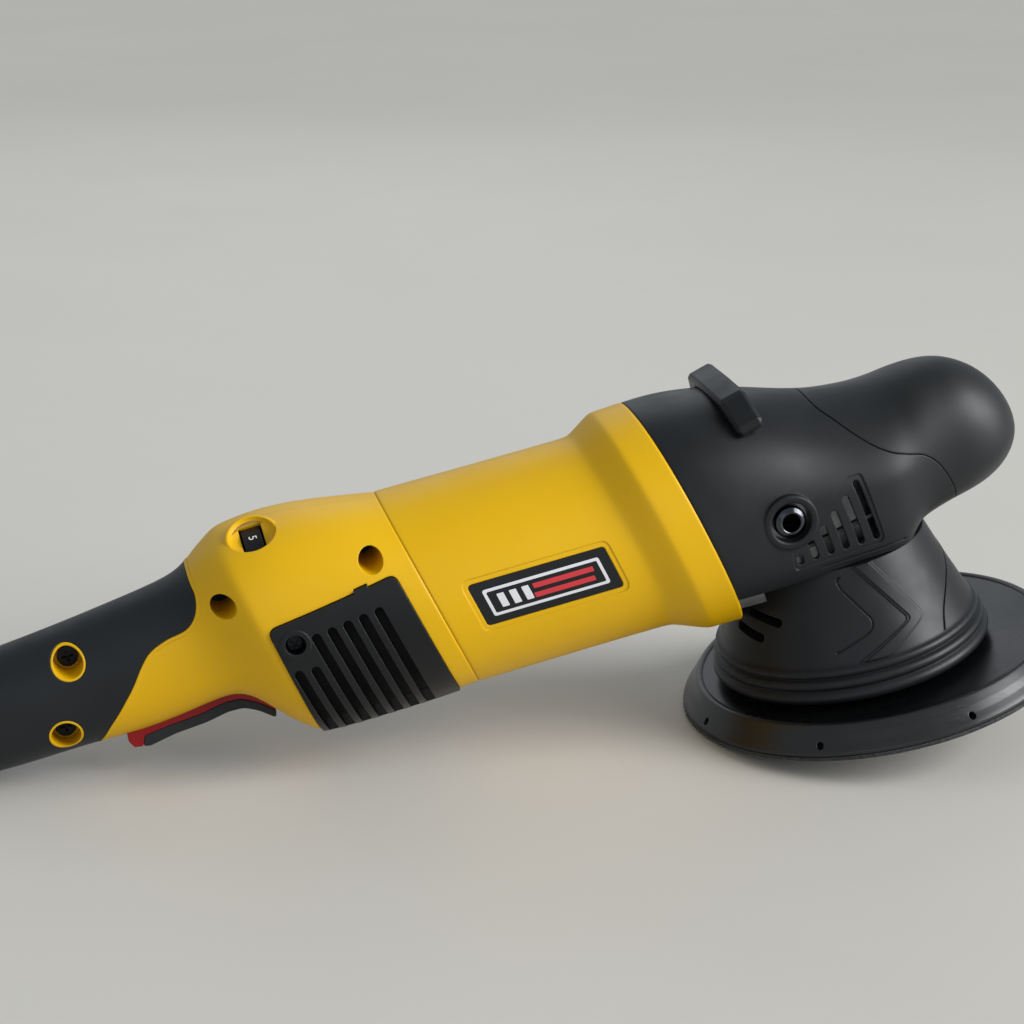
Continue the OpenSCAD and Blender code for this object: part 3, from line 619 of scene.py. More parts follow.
def hook_tape(name):
    """A coarse, dull, uneven nap."""
    finish, tree, shader = blank(name)
    shade = blend(tree, spread(tree, grain(tree, 1.2), 0, 1), linear("#141415"), linear("#3A3A3B"))
    tree.links.new(shade, shader.inputs["Base Color"])
    bump = add(tree, "Bump", {"Height": grain(tree, 0.9, detail=5), "Distance": 0.4 * MM})
    tree.links.new(bump.outputs[0], shader.inputs["Normal"])
    shader.inputs["Roughness"].default_value = 0.8
    shader.inputs["Sheen Weight"].default_value = 0.2
    return finish


hooks = hook_tape("nylon_hook_tape")

# %% [markdown]
# ## Dressing the frame
# Each CAD node names a material slot. The inner works keep their CAD shape and only take the
# finish of their slot, which is quicker than modelling what can't be seen. The outer pieces
# that follow take the place of their nodes.

# %% Every CAD node takes the finish of its material slot
FINISHES = {
    "yellow_plastic": yellow, "black_plastic": charcoal, "badge": FILM[0],
    "black_rubber": grip_rubber, "plate_foam": plate_rim, "hook_fabric": hooks,
    "red_plastic": red, "trigger_rubber": pad_rubber, "board": board_green,
    "screw_steel": oxide_steel, "bright_steel": ground_steel, "bush_steel": blued_steel,
    "white_plastic": white, "core_steel": lamination, "copper": copper, "brass": brass,
    "carbon": carbon, "cast_aluminium": die_cast, "cast_iron": iron,
}
for part in frame["record"]["subparts"]:
    shown = frame["nodes"][part["node"]]
    shown.data.materials.clear()
    shown.data.materials.append(FINISHES[part["material_slot"]])
print(len(FINISHES), "slots have a finish")

# %% [markdown]
# ## The floor
# A plain pale tabletop in matt laminate, wide enough to pass behind the tool without an edge.
# One flat plane is enough, since nothing stands on it but the tool.

# %% Tabletop
bpy.ops.mesh.primitive_plane_add(size=60)
floor = bpy.context.object
floor.name = "tabletop"
matt, tree, shader = blank("pale_matt_laminate")
pale = blend(tree, grain(tree, 300), linear("#C4C0B8"), linear("#BEBAB3"))
tree.links.new(pale, shader.inputs["Base Color"])
tree.links.new(spread(tree, grain(tree, 60), 0.5, 0.6), shader.inputs["Roughness"])
floor.data.materials.append(matt)
print("floor", floor.dimensions.x, "m wide")

# %% [markdown]
# ## The motor housing
# A barrel that flares into a collar where it meets the gear head. Both seams lean by 14 degrees.
# A lathe can't make a leaning flare, so the barrel is a loft: its rows are upright ovals that
# are sheared to the lean. A second, smaller loft hollows it out.

# %% Rows of the motor housing, and the label's place
MOTOR_ROWS = [
    (TAIL_SEAM, MOTOR_R, MOTOR_R, MOTOR_R, 2.05, LEAN),
    (-110, MOTOR_R, MOTOR_R, MOTOR_R, 2, LEAN),
    (-84, MOTOR_R, MOTOR_R, MOTOR_R, 2, LEAN),
    (-79.5, MOTOR_R, MOTOR_R, MOTOR_R, 2.05, LEAN),
    (-77.5, MOTOR_R + 0.3, MOTOR_R + 0.4, MOTOR_R + 0.3, 2.1, LEAN),
    (-72, MOTOR_R + 2.9, MOTOR_R + 3.2, MOTOR_R + 2.6, 2.15, LEAN),
    (-67.8, MOTOR_R + 4.8, MOTOR_R + 5.3, MOTOR_R + 4.2, 2.2, LEAN),
    (-66.2, MOTOR_R + 5.1, MOTOR_R + 5.8, MOTOR_R + 4.5, 2.2, LEAN),
    (-64, MOTOR_R + 5.15, MOTOR_R + 5.9, MOTOR_R + 4.5, 2.2, LEAN),
    (HEAD_SEAM, MOTOR_R + 5.2, MOTOR_R + 6.4, MOTOR_R + 4.6, 2.2, LEAN),
]
LABEL_X = -115.3
LABEL_Z = 86.4
LABEL_LONG = 51.0
LABEL_HIGH = 16.4
LABEL_SINK = 0.5
# Smoothing draws the barrel in by this much.
BARREL_TRUE = 0.9968


def slanted(x, z, long, high, corner=1.5):
    """A parallelogram that leans as the seams do."""
    shift = LEAN * high / 2
    corners = [(x - long / 2 - shift, z + high / 2), (x - long / 2 + shift, z - high / 2),
               (x + long / 2 + shift, z - high / 2), (x + long / 2 - shift, z + high / 2)]
    return rounded(corners, corner)


def side_span(side, near=25):
    return (near, REACH) if side > 0 else (-REACH, -near)


def label_pocket(side, margin, depth, corner):
    long, high = LABEL_LONG + 2 * margin, LABEL_HIGH + 2 * margin
    pocket = across(slanted(LABEL_X, LABEL_Z, long, high, corner), *side_span(side))
    core = bar(MOTOR_R * BARREL_TRUE - depth, (-170, 0, MOTOR_Z), (-50, 0, MOTOR_Z), 128)
    return combine(pocket, core)


# %% Motor housing
motor = loft(lipped(MOTOR_ROWS))
combine(motor, loft(MOTOR_ROWS, -WALL, (-1, 1)))
for side in (-1, 1):
    combine(motor, label_pocket(side, 2.1, 0.32, 3.2))
    combine(motor, label_pocket(side, 0.2, 0.95, 1.7))
settle(motor, "motor_barrel", "root", "yellow_plastic", yellow, "motor_housing")

# %% [markdown]
# ## The badges
# A thin film sits in a pocket on each side of the barrel. Its print is generic: three slanted
# bars and two stripes in a frame. An image could carry it, but here each shape is cut from a
# thin tube, so that it lies on the barrel and stays sharp.

# %% Badges
def on_barrel(outline, side, low, high):
    skin = combine(bar(MOTOR_R + high, (-170, 0, MOTOR_Z), (-60, 0, MOTOR_Z), 160),
                   bar(MOTOR_R + low, (-180, 0, MOTOR_Z), (-50, 0, MOTOR_Z), 160))
    return combine(skin, across(outline, *side_span(side)), "INTERSECT")


def bar_of_print(side, number, x, z, long, high, corner):
    """One slanted bar of the print, in one of the film's colours."""
    outline = slanted(LABEL_X + x, LABEL_Z + z, long, high, corner)
    ink = on_barrel(outline, side, -LABEL_SINK - 0.1, -LABEL_SINK + 0.04)
    return painted(ink, FILM, number)


def badge(side):
    sheet = on_barrel(slanted(LABEL_X, LABEL_Z, LABEL_LONG, LABEL_HIGH), side, -1.0, -LABEL_SINK)
    border = bar_of_print(side, 1, 0, 0, 43.5, 10.6, 1.0)
    combine(border, across(slanted(LABEL_X, LABEL_Z, 41.2, 8.4, 0.6), *side_span(side)))
    painted(border, FILM, 1)
    bars = [bar_of_print(side, 1, -16.2 + 4.6 * k, 0, 2.6, 5.4, 0.3) for k in range(3)]
    stripes = [bar_of_print(side, 2, 6.6, 1.75 - 3.5 * k, 22.5, 1.9, 0.3) for k in range(2)]
    return join(painted(sheet, FILM, 0), border, *bars, *stripes)


settle(badge(-1), "badge_right", "root", "badge", FILM, "label_right")
settle(badge(1), "badge_left", "root", "badge", FILM, "label_left")

# %% [markdown]
# ## The tail and handle
# The handle and the swelling behind the motor are one surface, split down the middle into two
# shells that screws hold together. The loft is made once and cut in half. The rubber skin lies
# in a step around the handle, with a thin yellow lip along its front edge.

# %% Rows of the tail, and what lies on it
TAIL_ROWS = [
    (COLLAR_SEAM, 19, 21.5, 21.5, 2.1, 0),
    (-306, 19, 22.3, 21.5, 2.2, 0),
    (-285, 19.5, 24.5, 20.5, 2.2, 0),
    (-270, 20.2, 26.4, 21.6, 2.2, 0),
    (-256, 21.2, 28.1, 20, 2.25, 0),
    (-246, 22.2, 29.6, 18.2, 2.3, 0),
    (-238, 23.6, 31.5, 16.4, 2.3, 0.05),
    (-231, 26.2, 34.4, 15.6, 2.35, 0.12),
    (-226, 28.9, 36.7, 20.6, 2.4, 0.17),
    (-221, 32, 38.8, 30.4, 2.45, 0.2),
    (-216, 35.1, 41, 36.4, 2.5, 0.22),
    (-213.6, 36.2, 41.9, 38.2, 2.5, 0.22),
    (-211, 36.5, 42.6, 38.9, 2.5, 0.22),
    (-200, 37.4, 44, 39.1, 2.5, 0.22),
    (-186, 38, 43.9, 39.2, 2.4, 0.23),
    (-170, 38.6, 41.5, 39.1, 2.3, 0.24),
    (TAIL_SEAM, MOTOR_R, MOTOR_R, MOTOR_R, 2.05, LEAN),
]
SKIN_EDGE = [
    (-236.8, 135), (-236.4, 118), (-235.6, 112), (-237.5, 106), (-242, 101.8), (-250, 99.8),
    (-256.5, 97), (-261, 92.5), (-265.5, 86.5), (-272, 79), (-279, 71), (-284, 62), (-286, 40),
]
CASING_SCREWS = [(-173, 111.5, 5.6), (-227, 108.5, 5.6), (-285, 100.5, 6.1), (-293, 75, 6.1)]
BRUSH_PANEL = [(-214.6, 98.6), (-206, 56), (-200, 30), (-152.6, 30), (-152.6, 50),
               (-166.4, 105.4), (-176.6, 103.96), (-176.9, 105.0), (-181.9, 104.3),
               (-181.7, 103.24)]
PANEL_CORNERS = [3.5, 0, 0, 0, 0, 3.5, 0, 0.2, 0.2, 0]
PANEL_MIDDLE = Vector((-183, 70))
COVER_SCREW = (-206.4, 91.4)
DIAL = Vector((-210.5, -6.5, 116.4))
DIAL_R = 10.5
DIAL_LEAN = math.radians(31)
TRIGGER_SLOT = 10.6
REAR = COLLAR_SEAM - 20
SKIN_GAP = 0.12
SKIN_PROUD = 0.12
PANEL_GAP = 0.25
HANDLE_START = -229

# %% Zones of the skin and of the brush covers
skin_line = smooth_line(SKIN_EDGE)


def skin_zone(gap=0.0):
    """All that lies behind the edge of the rubber skin."""
    return across(offset_line(skin_line, -gap) + [(REAR, 40), (REAR, 135)])


def panel_zone(side, gap):
    """All that lies under a brush cover, grown by a gap."""
    grown = []
    for corner in BRUSH_PANEL:
        outwards = (Vector(corner) - PANEL_MIDDLE).normalized()
        grown.append(tuple(Vector(corner) + outwards * gap * 1.2))
    return across(rounded(grown, PANEL_CORNERS), *side_span(side, 6))


# %% The whole tail, with a step for the rubber and a lip along it
tail = loft(lipped(TAIL_ROWS))
combine(tail, combine(skin_zone(), loft(TAIL_ROWS, -SKIN, (-1, 1))))
lip = combine(loft(TAIL_ROWS, 0.3), loft(TAIL_ROWS, -1.2, (-1, 1)))
combine(tail, combine(lip, across(strip(skin_line, 0.05, 1.15)), "INTERSECT"), "UNION")

# %% A bezel round the dial
dial_place = Matrix.Translation(DIAL) @ Matrix.Rotation(DIAL_LEAN, 4, "X")
BEZEL_R = 8.9
turns = [math.tau * k / 16 for k in range(16)]
bezel = lathe([(BEZEL_R + 1.2 * math.cos(t), 1.1 * math.sin(t)) for t in turns],
              96, dial_place @ Matrix.Translation((0, 0, 10.9)))
combine(tail, bezel, "UNION")

# %% Rooms inside, and the openings
for wall, x0, x1 in ((WALL, HANDLE_START + 1, -108), (SKIN + WALL, -330, HANDLE_START)):
    limits = block((x0, -REACH, 0), (x1, REACH, HEADROOM))
    combine(tail, combine(limits, loft(TAIL_ROWS, -wall, (-1, 1)), "INTERSECT"))
slot_outline = [(-274, 30), (-274, 74), (-229, 79), (-221, 75), (-216.6, 67), (-216.6, 30)]
combine(tail, across(slot_outline, -TRIGGER_SLOT, TRIGGER_SLOT))
for side in (-1, 1):
    combine(tail, panel_zone(side, PANEL_GAP))

# %% Screw posts, and their bores on the right
for x, z, radius in CASING_SCREWS:
    flush = loft(TAIL_ROWS, 0.25 if radius > 6 else -0.4)
    post = combine(bar(radius, (x, -REACH, z), (x, REACH, z)), flush, "INTERSECT")
    combine(tail, post, "UNION")
for x, z, radius in CASING_SCREWS:
    rim = 0.8 if radius > 6 else 1.2
    combine(tail, bar(radius - rim, (x, -REACH, z), (x, -6, z)))
    combine(tail, bar(1.7, (x, -REACH, z), (x, 9, z), 24))

# %% The dial's seat, its dish and its window
seat = bar(10.4, dial_place @ Vector((0, 0, 4.4)), dial_place @ Vector((0, 0, 16)))
combine(tail, combine(seat, loft(TAIL_ROWS, -0.5), "INTERSECT"), "UNION")
dish = rounded([(0.01, -7.6), (4.6, -7.5), (7.9, -6.2), (BEZEL_R, -4.2), (BEZEL_R, 4), (0.01, 4)],
               [0, 3, 3, 0.8, 0, 0])
combine(tail, lathe(dish, 96, dial_place @ Matrix.Translation((0, 0, 16.6))))
for low, high in (((-4.2, -6.7, 0), (4.2, 6.7, 30)), ((-4.2, -12, -12), (4.2, 12, 8.3))):
    window = block(low, high)
    window.data.transform(dial_place)
    combine(tail, window)
print("tail before the split", len(tail.data.polygons), "faces")

# %% Two shells
for side, hand in ((-1, "right"), (1, "left")):
    settle(half_of(tail, side), "shell_" + hand, "root", "yellow_plastic", yellow,
           "handle_shell_" + hand)
bpy.data.objects.remove(tail)

# %% [markdown]
# ## Rubber skin and rear collar
# The skin is a thermoplastic rubber, moulded over the handle in the step that was left for it.
# It is what lies between two lofts, so that it follows the shells all over. The collar closes
# the end of the handle, with a groove near its middle and a round inlet. It is turned.

# %% Rubber skin, in two halves
skin_whole = combine(loft(TAIL_ROWS, SKIN_PROUD), loft(TAIL_ROWS, -SKIN, (-1, 1)))
combine(skin_whole, skin_zone(SKIN_GAP), "INTERSECT")
for x, z, radius in CASING_SCREWS[2:]:
    combine(skin_whole, bar(radius + 0.1, (x, -REACH, z), (x, REACH, z)))
for side, hand in ((-1, "right"), (1, "left")):
    settle(half_of(skin_whole, side), "skin_" + hand, "root", "black_rubber", grip_rubber,
           "grip_skin_" + hand)
bpy.data.objects.remove(skin_whole)

# %% Rear collar
collar_profile = [(4.6, 0), (COLLAR_R - 0.3, 0), (COLLAR_R, 11), (COLLAR_R - 0.8, 12),
                  (COLLAR_R, 13), (COLLAR_R, 24.4), (13.6, 24.4), (13.6, 33), (11, 33), (11, 13),
                  (4.6, 13)]
collar_corners = [0.8, 4, 1, 0.3, 1, 0.8, 0.3, 0.5, 0.5, 0.3, 0.3]
along_motor = Matrix.Translation((COLLAR_END, 0, MOTOR_Z)) @ Matrix.Rotation(math.pi / 2, 4, "Y")
collar = lathe(rounded(collar_profile, collar_corners), 112, along_motor)
settle(collar, "collar", "root", "black_plastic", grip_rubber, "rear_collar")

# %% [markdown]
# ## The brush covers
# A black cover on each side of the tail gives access to the motor's carbon brushes and lets
# cooling air in. It follows the tail, standing a little proud, and wraps under it. Seven slanted
# slots run out at its lower edge, and one screw sits in a round boss. The slots are wells with
# a floor, found by its depth, which takes a darker and duller finish as painted shade.

# %% Slots of the brush covers
SLOT_PITCH = 6.1
SLOT_WIDE = 3.5
FIRST_SLOT = -170.4


def capsule(x0, z0, x1, z1, wide, steps=6):
    """The outline of a slot with round ends, between two points."""
    start, end = Vector((x0, z0)), Vector((x1, z1))
    heading = math.atan2(*(end - start).yx)
    made = []
    for centre, turn in ((end, heading - math.pi / 2), (start, heading + math.pi / 2)):
        for k in range(steps + 1):
            t = turn + math.pi * k / steps
            made.append((centre.x + wide / 2 * math.cos(t), centre.y + wide / 2 * math.sin(t)))
    return made


def cover_slot_ends(i):
    high = 4.0 if i > 4 else 19 - 0.8 * i
    x = FIRST_SLOT - i * SLOT_PITCH
    return x - LEAN * high, 76 + high, x + LEAN * 40, 36


# %% Brush covers
def brush_cover(side):
    plate = combine(loft(TAIL_ROWS, 0.9), loft(TAIL_ROWS, -WALL - 2, (-1, 1)))
    combine(plate, panel_zone(side, 0.0), "INTERSECT")
    trim = block((-0.3, -100, -100), (100, 100, 100))
    trim.data.transform(leaning(TAIL_SEAM))
    combine(plate, trim)
    for i in range(7):
        well = combine(across(capsule(*cover_slot_ends(i), SLOT_WIDE), *side_span(side, 16)),
                       loft(TAIL_ROWS, -WALL - 1.2, (-1, 1)))
        combine(plate, well)
    x, z = COVER_SCREW
    boss = bar(5.4, (x, side * 26, z), (x, side * REACH, z), 64)
    combine(boss, loft(TAIL_ROWS, 1.5), "INTERSECT")
    combine(boss, loft(TAIL_ROWS, -WALL, (-1, 1)))
    combine(plate, boss, "UNION")
    combine(plate, bar(3.7, (x, side * 34.0, z), (x, side * REACH, z)))
    depth = loft(TAIL_ROWS, -WALL - 1.2)
    floor_of_slots = BVHTree.FromObject(depth, bpy.context.evaluated_depsgraph_get())
    # The faces on the floor of the slots take the painted shade finish.
    for face in plate.data.polygons:
        nearest, normal, index, gap = floor_of_slots.find_nearest(face.center)
        face.material_index = int(gap < 0.05)
    bpy.data.objects.remove(depth)
    return plate


for side, hand in ((-1, "right"), (1, "left")):
    settle(brush_cover(side), "vent_cover_" + hand, "root", "black_plastic",
           [cover_black, slot_shade_black], "brush_cover_" + hand)

# %% [markdown]
# ## The covers' screws
# Small steel screws with a domed head and a cross recess. The head is turned, two blades cut
# the cross, and a fine bevel breaks its edges. The few cuts here are far enough apart for it.

# %% A bevel that keeps to the surface
SHARP_OVER = 38


def soften(piece, width):
    """Rounds sharp edges, and puts back any corner that the bevel threw off the surface."""
    apply(piece, "WELD", merge_threshold=0.03)
    before = BVHTree.FromObject(piece, bpy.context.evaluated_depsgraph_get())
    apply(piece, "BEVEL", width=width, segments=2, limit_method="ANGLE",
          angle_limit=math.radians(SHARP_OVER), use_clamp_overlap=False, loop_slide=True)
    for vertex in piece.data.vertices:
        nearest, normal, index, gap = before.find_nearest(vertex.co)
        if gap > 1.05 * width:
            vertex.co = nearest
    return apply(piece, "WELD", merge_threshold=0.01)


# %% Cross-head screws
SHANK = 4.0


def cross_screw(radius, high, centre, outwards):
    """A domed head with a cross recess, looking outwards along Y."""
    dome = [(0, -SHANK), (radius * 0.5, -SHANK), (radius * 0.5, 0), (radius, 0),
            (radius * 0.96, high * 0.55), (0, high)]
    head = lathe(rounded(dome, [0, 0, 0, 0.1, 0.8, 0]), 48)
    for turn in (0, math.pi / 2):
        blade = block((-radius * 0.62, -0.42, high * 0.25), (radius * 0.62, 0.42, high + 1))
        blade.data.transform(Matrix.Rotation(turn + math.pi / 4, 4, "Z"))
        combine(head, blade)
    soften(head, 0.1)
    turn = Matrix.Rotation(-outwards * math.pi / 2, 4, "X")
    head.data.transform(Matrix.Translation(centre) @ turn)
    return head


x, z = COVER_SCREW
cover_screws = [cross_screw(3.3, 1.7, (x, side * 34.9, z), side) for side in (-1, 1)]
settle(join(*cover_screws), "cover_screws", "root", "screw_steel", oxide_steel,
       "brush_cover_screws")

# %% [markdown]
# ## Trigger
# A red lever with a soft rubber pad along its underside. It's drawn from the side as two
# outlines, each a stack of rings across the handle. The first and last rings are a little
# smaller, which rounds the long edges where a bevel would tear the tight corners.

# %% Outlines of the trigger and its pad
TRIGGER_HALF = 9.8
TRIGGER_EDGE = 0.35
red_outline = [(-272.4, 73), (-273.2, 64), (-271.8, 61.2), (-268.6, 60.6), (-267, 64.4),
               (-258, 65.2), (-246, 65.6), (-236, 67), (-230, 66.6), (-224.4, 63.2),
               (-219, 58.4), (-218, 60.6), (-220.4, 66), (-224.4, 71), (-229, 73.6),
               (-264, 73.6)]
pad_outline = [(-267, 64.4), (-268.6, 60.6), (-266, 60), (-256, 61.4), (-244, 61.8),
               (-236, 63), (-230, 62.8), (-225, 60), (-219.6, 55.4), (-219, 58.4),
               (-224.4, 63.2), (-230, 66.6), (-236, 67), (-246, 65.6), (-258, 65.2)]
red_corners = [0.9, 2, 1.5, 1, 1, 6, 20, 10, 8, 12, 0.9, 0.9, 4, 6, 3, 1]
pad_corners = [1, 1, 1.5, 8, 20, 10, 8, 12, 1, 1, 12, 8, 10, 20, 6]


# %% Trigger and pad
def round_sided(outline, half):
    """An outline set across the tool, with its two long edges rounded by smaller rings."""
    edge = TRIGGER_EDGE
    closed = outline[-1:] + outline + outline[:1]
    rings = []
    for away, inwards in ((half, edge), (half - 0.3 * edge, 0.3 * edge), (half - edge, 0)):
        smaller = offset_line(closed, inwards)[1:-1]
        rings.append([(x, -away, z) for x, z in smaller])
    return stack(rings + [[(x, -y, z) for x, y, z in ring] for ring in rings[::-1]])


def hanging(outline):
    """The trigger hangs a little lower towards its pivot."""
    return [(x, z - 1.3 * min(max((-235 - x) / 35, 0), 1)) for x, z in outline]


lever = round_sided(rounded(hanging(red_outline), red_corners, 4), TRIGGER_HALF)
settle(lever, "trigger_lever", "trigger", "red_plastic", red, "trigger")
pad = round_sided(rounded(hanging(pad_outline), pad_corners, 4), TRIGGER_HALF + 0.15)
settle(pad, "trigger_grip", "trigger", "trigger_rubber", pad_rubber, "trigger_pad")

# %% [markdown]
# ## Speed dial
# A thumb wheel with a milled rim and the numbers 1 to 6. It turns in a window at the bottom of a
# round dish. Text becomes a mesh, and each number is laid on the rim.

# %% The milled wheel
DIAL_FINISHES = [dial_black, white]
DIAL_HALF = 3.4
GROOVES = 60
NUMBERS = 6


def milled_wheel():
    profile = [(2.6, -DIAL_HALF), (DIAL_R, -DIAL_HALF), (DIAL_R, DIAL_HALF), (2.6, DIAL_HALF)]
    wheel = lathe(rounded(profile, [0, 0.5, 0.5, 0], 3), 120)
    for k in range(GROOVES):
        groove = bar(0.28, (DIAL_R + 0.12, 0, 2.1), (DIAL_R + 0.12, 0, 4), 8)
        groove.data.transform(Matrix.Rotation(math.tau * k / GROOVES, 4, "Z"))
        groove_low = copy_of(groove)
        groove_low.data.transform(Matrix.Translation((0, 0, -6.1)))
        combine(wheel, groove)
        combine(wheel, groove_low)
    return painted(wheel, DIAL_FINISHES, 0)


# %% The numbers on its rim
def number_on_rim(k):
    bpy.ops.object.select_all(action="DESELECT")
    bpy.ops.object.text_add()
    text = bpy.context.object.data
    text.body = str(k + 1)
    text.size = 4.2
    text.extrude = 0.04
    text.align_x = "CENTER"
    text.align_y = "CENTER"
    bpy.ops.object.convert(target="MESH")
    number = bpy.context.object
    lift = Matrix.Translation((DIAL_R + 0.02, 0, 0)) @ Matrix.Rotation(math.pi / 2, 4, "Y")
    round_rim = Matrix.Rotation(math.tau * (k - 4) / NUMBERS, 4, "Z")
    number.data.transform(round_rim @ lift @ Matrix.Rotation(math.pi / 2, 4, "Z"))
    return painted(number, DIAL_FINISHES, 1)


wheel = milled_wheel()
for k in range(NUMBERS):
    join(wheel, number_on_rim(k))
upright = Matrix.Rotation(math.pi / 2, 4, "Y") @ Matrix.Rotation(math.pi, 4, "Z")
wheel.data.transform(dial_place @ upright)
settle(wheel, "dial_wheel", "dial", "black_plastic", DIAL_FINISHES, "speed_dial")

# %% [markdown]
# ## The gear head's cover
# The cover is square at the motor and narrows towards the front grip, with scooped shoulders.
# Its rows carry a second squareness for their upper half, which pulls the shoulders in.

# %% Head rows
HEAD_ROWS = [
    (HEAD_SEAM, MOTOR_R + 5.2, MOTOR_R + 6.4, MOTOR_R + 4.6, 2.2, LEAN),
    (-42, 43.4, 45.4, 44, 2.35, LEAN),
    (-30, 41.8, 43.8, 44, 2.5, 0.2, 2.3),
    (-20, 40.4, 41, 44, 2.6, 0.12, 2.1),
    (-10, 39.2, 37, 44, 2.6, 0.05, 1.85),
    (2, 38.2, 33, 44, 2.6, 0, 1.7),
    (13, 36.9, 31.7, 44, 2.7, 0, 1.7),
    (20, 35.4, 31.1, 42, 2.7, 0, 1.75),
    (25, 33.4, 31.1, 33, 2.5, 0, 1.85),
    (30, 31.3, 31.3, 26.6, 2.3, 0, 1.95),
    (37, 29, 32, 24.6, 2.2, 0),
    (46, 27.2, 32.8, 22.6, 2.1, 0),
    (55, 26, 31.6, 21, 2.1, 0),
    (64, 22.8, 27, 18.4, 2, 0),
    (71, 17.6, 20.4, 13.8, 2, 0),
    (76, 10.6, 12, 8, 2, 0),
    (78.5, 3, 4, 2, 2, 0),
]
GRIP_EDGE = [(-3, 140), (-1.3, 119), (5, 110), (13, 101.5), (20, 96.4), (27, 93.4), (33, 91),
             (38, 86), (42, 78), (45.4, 68), (47.4, 58), (48, 40)]
VENT_PITCH = 6.1
VENT_WIDE = 2.7

# %% The front grip's zone
grip_line = smooth_line(GRIP_EDGE)


def grip_zone(gap):
    """All that lies ahead of the edge of the grip, less a gap."""
    return across(offset_line(grip_line, -gap) + [(100, 40), (100, 140)])


# %% Head cover: the shell
cover = loft(lipped(HEAD_ROWS, last=False))
combine(cover, loft(HEAD_ROWS, -WALL, (-1, 0)))
combine(cover, grip_zone(0.0))
below_edge = [(-80, 40), (-80, COVER_LOW), (100, COVER_LOW), (100, 40)]
combine(cover, across(below_edge, -80, 80))
combine(cover, bar(28.6, (0, 0, 50), (0, 0, 66), 96))
border = [(-15, COVER_LOW + 3), (19.6, COVER_LOW + 3)]
border_line = across(strip(border, 0.35, -0.35))
combine(cover, combine(border_line, loft(HEAD_ROWS, -0.55, (-1, 1))))

# %% Head cover: vents in a sunken frame, with a rib behind them
vent_frame = rounded([(1.0, 93.6), (-25.6, 73.4), (-25.6, 65.4), (11.2, 65.4), (6.6, 93.6)],
                     [2, 2, 2.4, 2.4, 2])
combine(cover, combine(across(vent_frame), loft(HEAD_ROWS, -0.5, (-1, 1))))
for i in range(6):
    x, drop = 8 - VENT_PITCH * i, 4.1 * i
    combine(cover, across(capsule(x - 0.19 * (22 - drop), 90.4 - drop, x, 68.4, VENT_WIDE)))
inner_rib = [(-21, 71.6), (-21, 73.0), (11, 78.2), (11, 76.8)]
rib = combine(loft(HEAD_ROWS, -1.2), loft(HEAD_ROWS, -3.4, (-1, 1)))
combine(cover, combine(rib, across(inner_rib), "INTERSECT"), "UNION")


# %% Head cover: bosses for the side handle
def beside(side, away):
    """Turns a lathe's axis outwards, and sets it at the side handle's thread."""
    place = Matrix.Translation((BUSH_X, side * (COVER_HALF + away), MOTOR_Z))
    return place @ Matrix.Rotation(-side * math.pi / 2, 4, "X")


def bush_bar(side, radius, inner, outer):
    return bar(radius, (BUSH_X, side * inner, MOTOR_Z), (BUSH_X, side * outer, MOTOR_Z), 64)


for side in (-1, 1):
    collar_ring = rounded([(7.5, -4), (10.3, -4), (10.3, 0), (7.5, 0)], [0, 0, 1.1, 0.9])
    combine(cover, bush_bar(side, 10.2, 34, COVER_HALF + 1.2), "UNION")
    combine(cover, bush_bar(side, 7.5, 30, REACH))
    combine(cover, lathe(collar_ring, 96, beside(side, 1.5)), "UNION")
settle(cover, "gear_head_cover", "root", "black_plastic", charcoal, "head_cover")

# %% [markdown]
# ## The foot of the gear case, the front grip and the bushes
# The cast gear case shows as a thin foot under the cover, beside the motor housing. It is cut
# from the head's own loft, so that it stays flush. The front grip is the same loft's nose, in
# a softer black. The steel bushes take a side handle, and are turned with a chamfered mouth.

# %% The foot of the gear case
foot_block = block((0.1, -REACH, -60), (9.5, REACH, -20))
foot_block.data.transform(leaning(HEAD_SEAM))
foot_metal = combine(loft(HEAD_ROWS, -0.6), foot_block, "INTERSECT")
combine(foot_metal, block((-70, -REACH, 54.6), (-20, REACH, 60.4)), "INTERSECT")
combine(foot_metal, block((-70, -22, 40), (-20, 22, 70)))
settle(foot_metal, "gear_case_foot", "root", "cast_aluminium", die_cast)

# %% Front grip
grip = combine(loft(HEAD_ROWS), grip_zone(-0.35), "INTERSECT")
combine(grip, loft(HEAD_ROWS, -3.2, (0, -3.2)))
settle(grip, "nose_grip", "root", "black_rubber", head_rubber, "front_grip")

# %% Steel bushes for the side handle
bush_profile = rounded([(3.4, -16), (6.1, -16), (6.1, 0), (4.0, 1.5), (3.4, 1.1)],
                       [0.2, 0.3, 1.6, 0.5, 0.3])
for side, hand in ((-1, "right"), (1, "left")):
    settle(lathe(bush_profile, 96, beside(side, 0.1)), "bush_" + hand, "root", "bush_steel",
           blued_steel, "handle_bush_" + hand)

# %% [markdown]
# ## The rest
# A rubber-tipped bar across the top of the head, which the tool is laid down on. It is a bar
# with bevelled edges and a crease along the middle, and the cover's own shape is cut from it.

# %% Rest bar
BAR_WIDE = 10.6
bar_outline = [(-22, 47.4), (0, 47.8), (22, 47.4), (32.2, 37.4), (29.8, 33.4), (20, 35.6),
               (-20, 35.6), (-29.8, 33.4), (-32.2, 37.4)]
rest = extruded([(-BAR_WIDE / 2, y, z) for y, z in bar_outline], (BAR_WIDE, 0, 0))
for width, segments, angle in ((1.5, 1, 30), (0.35, 2, 20)):
    apply(rest, "BEVEL", width=width, segments=segments, limit_method="ANGLE",
          angle_limit=math.radians(angle))
rest.data.transform(leaning(-20.2))
combine(rest, loft(HEAD_ROWS, 0.03))
settle(rest, "rest_bar", "root", "black_plastic", charcoal, "rest_bumper")

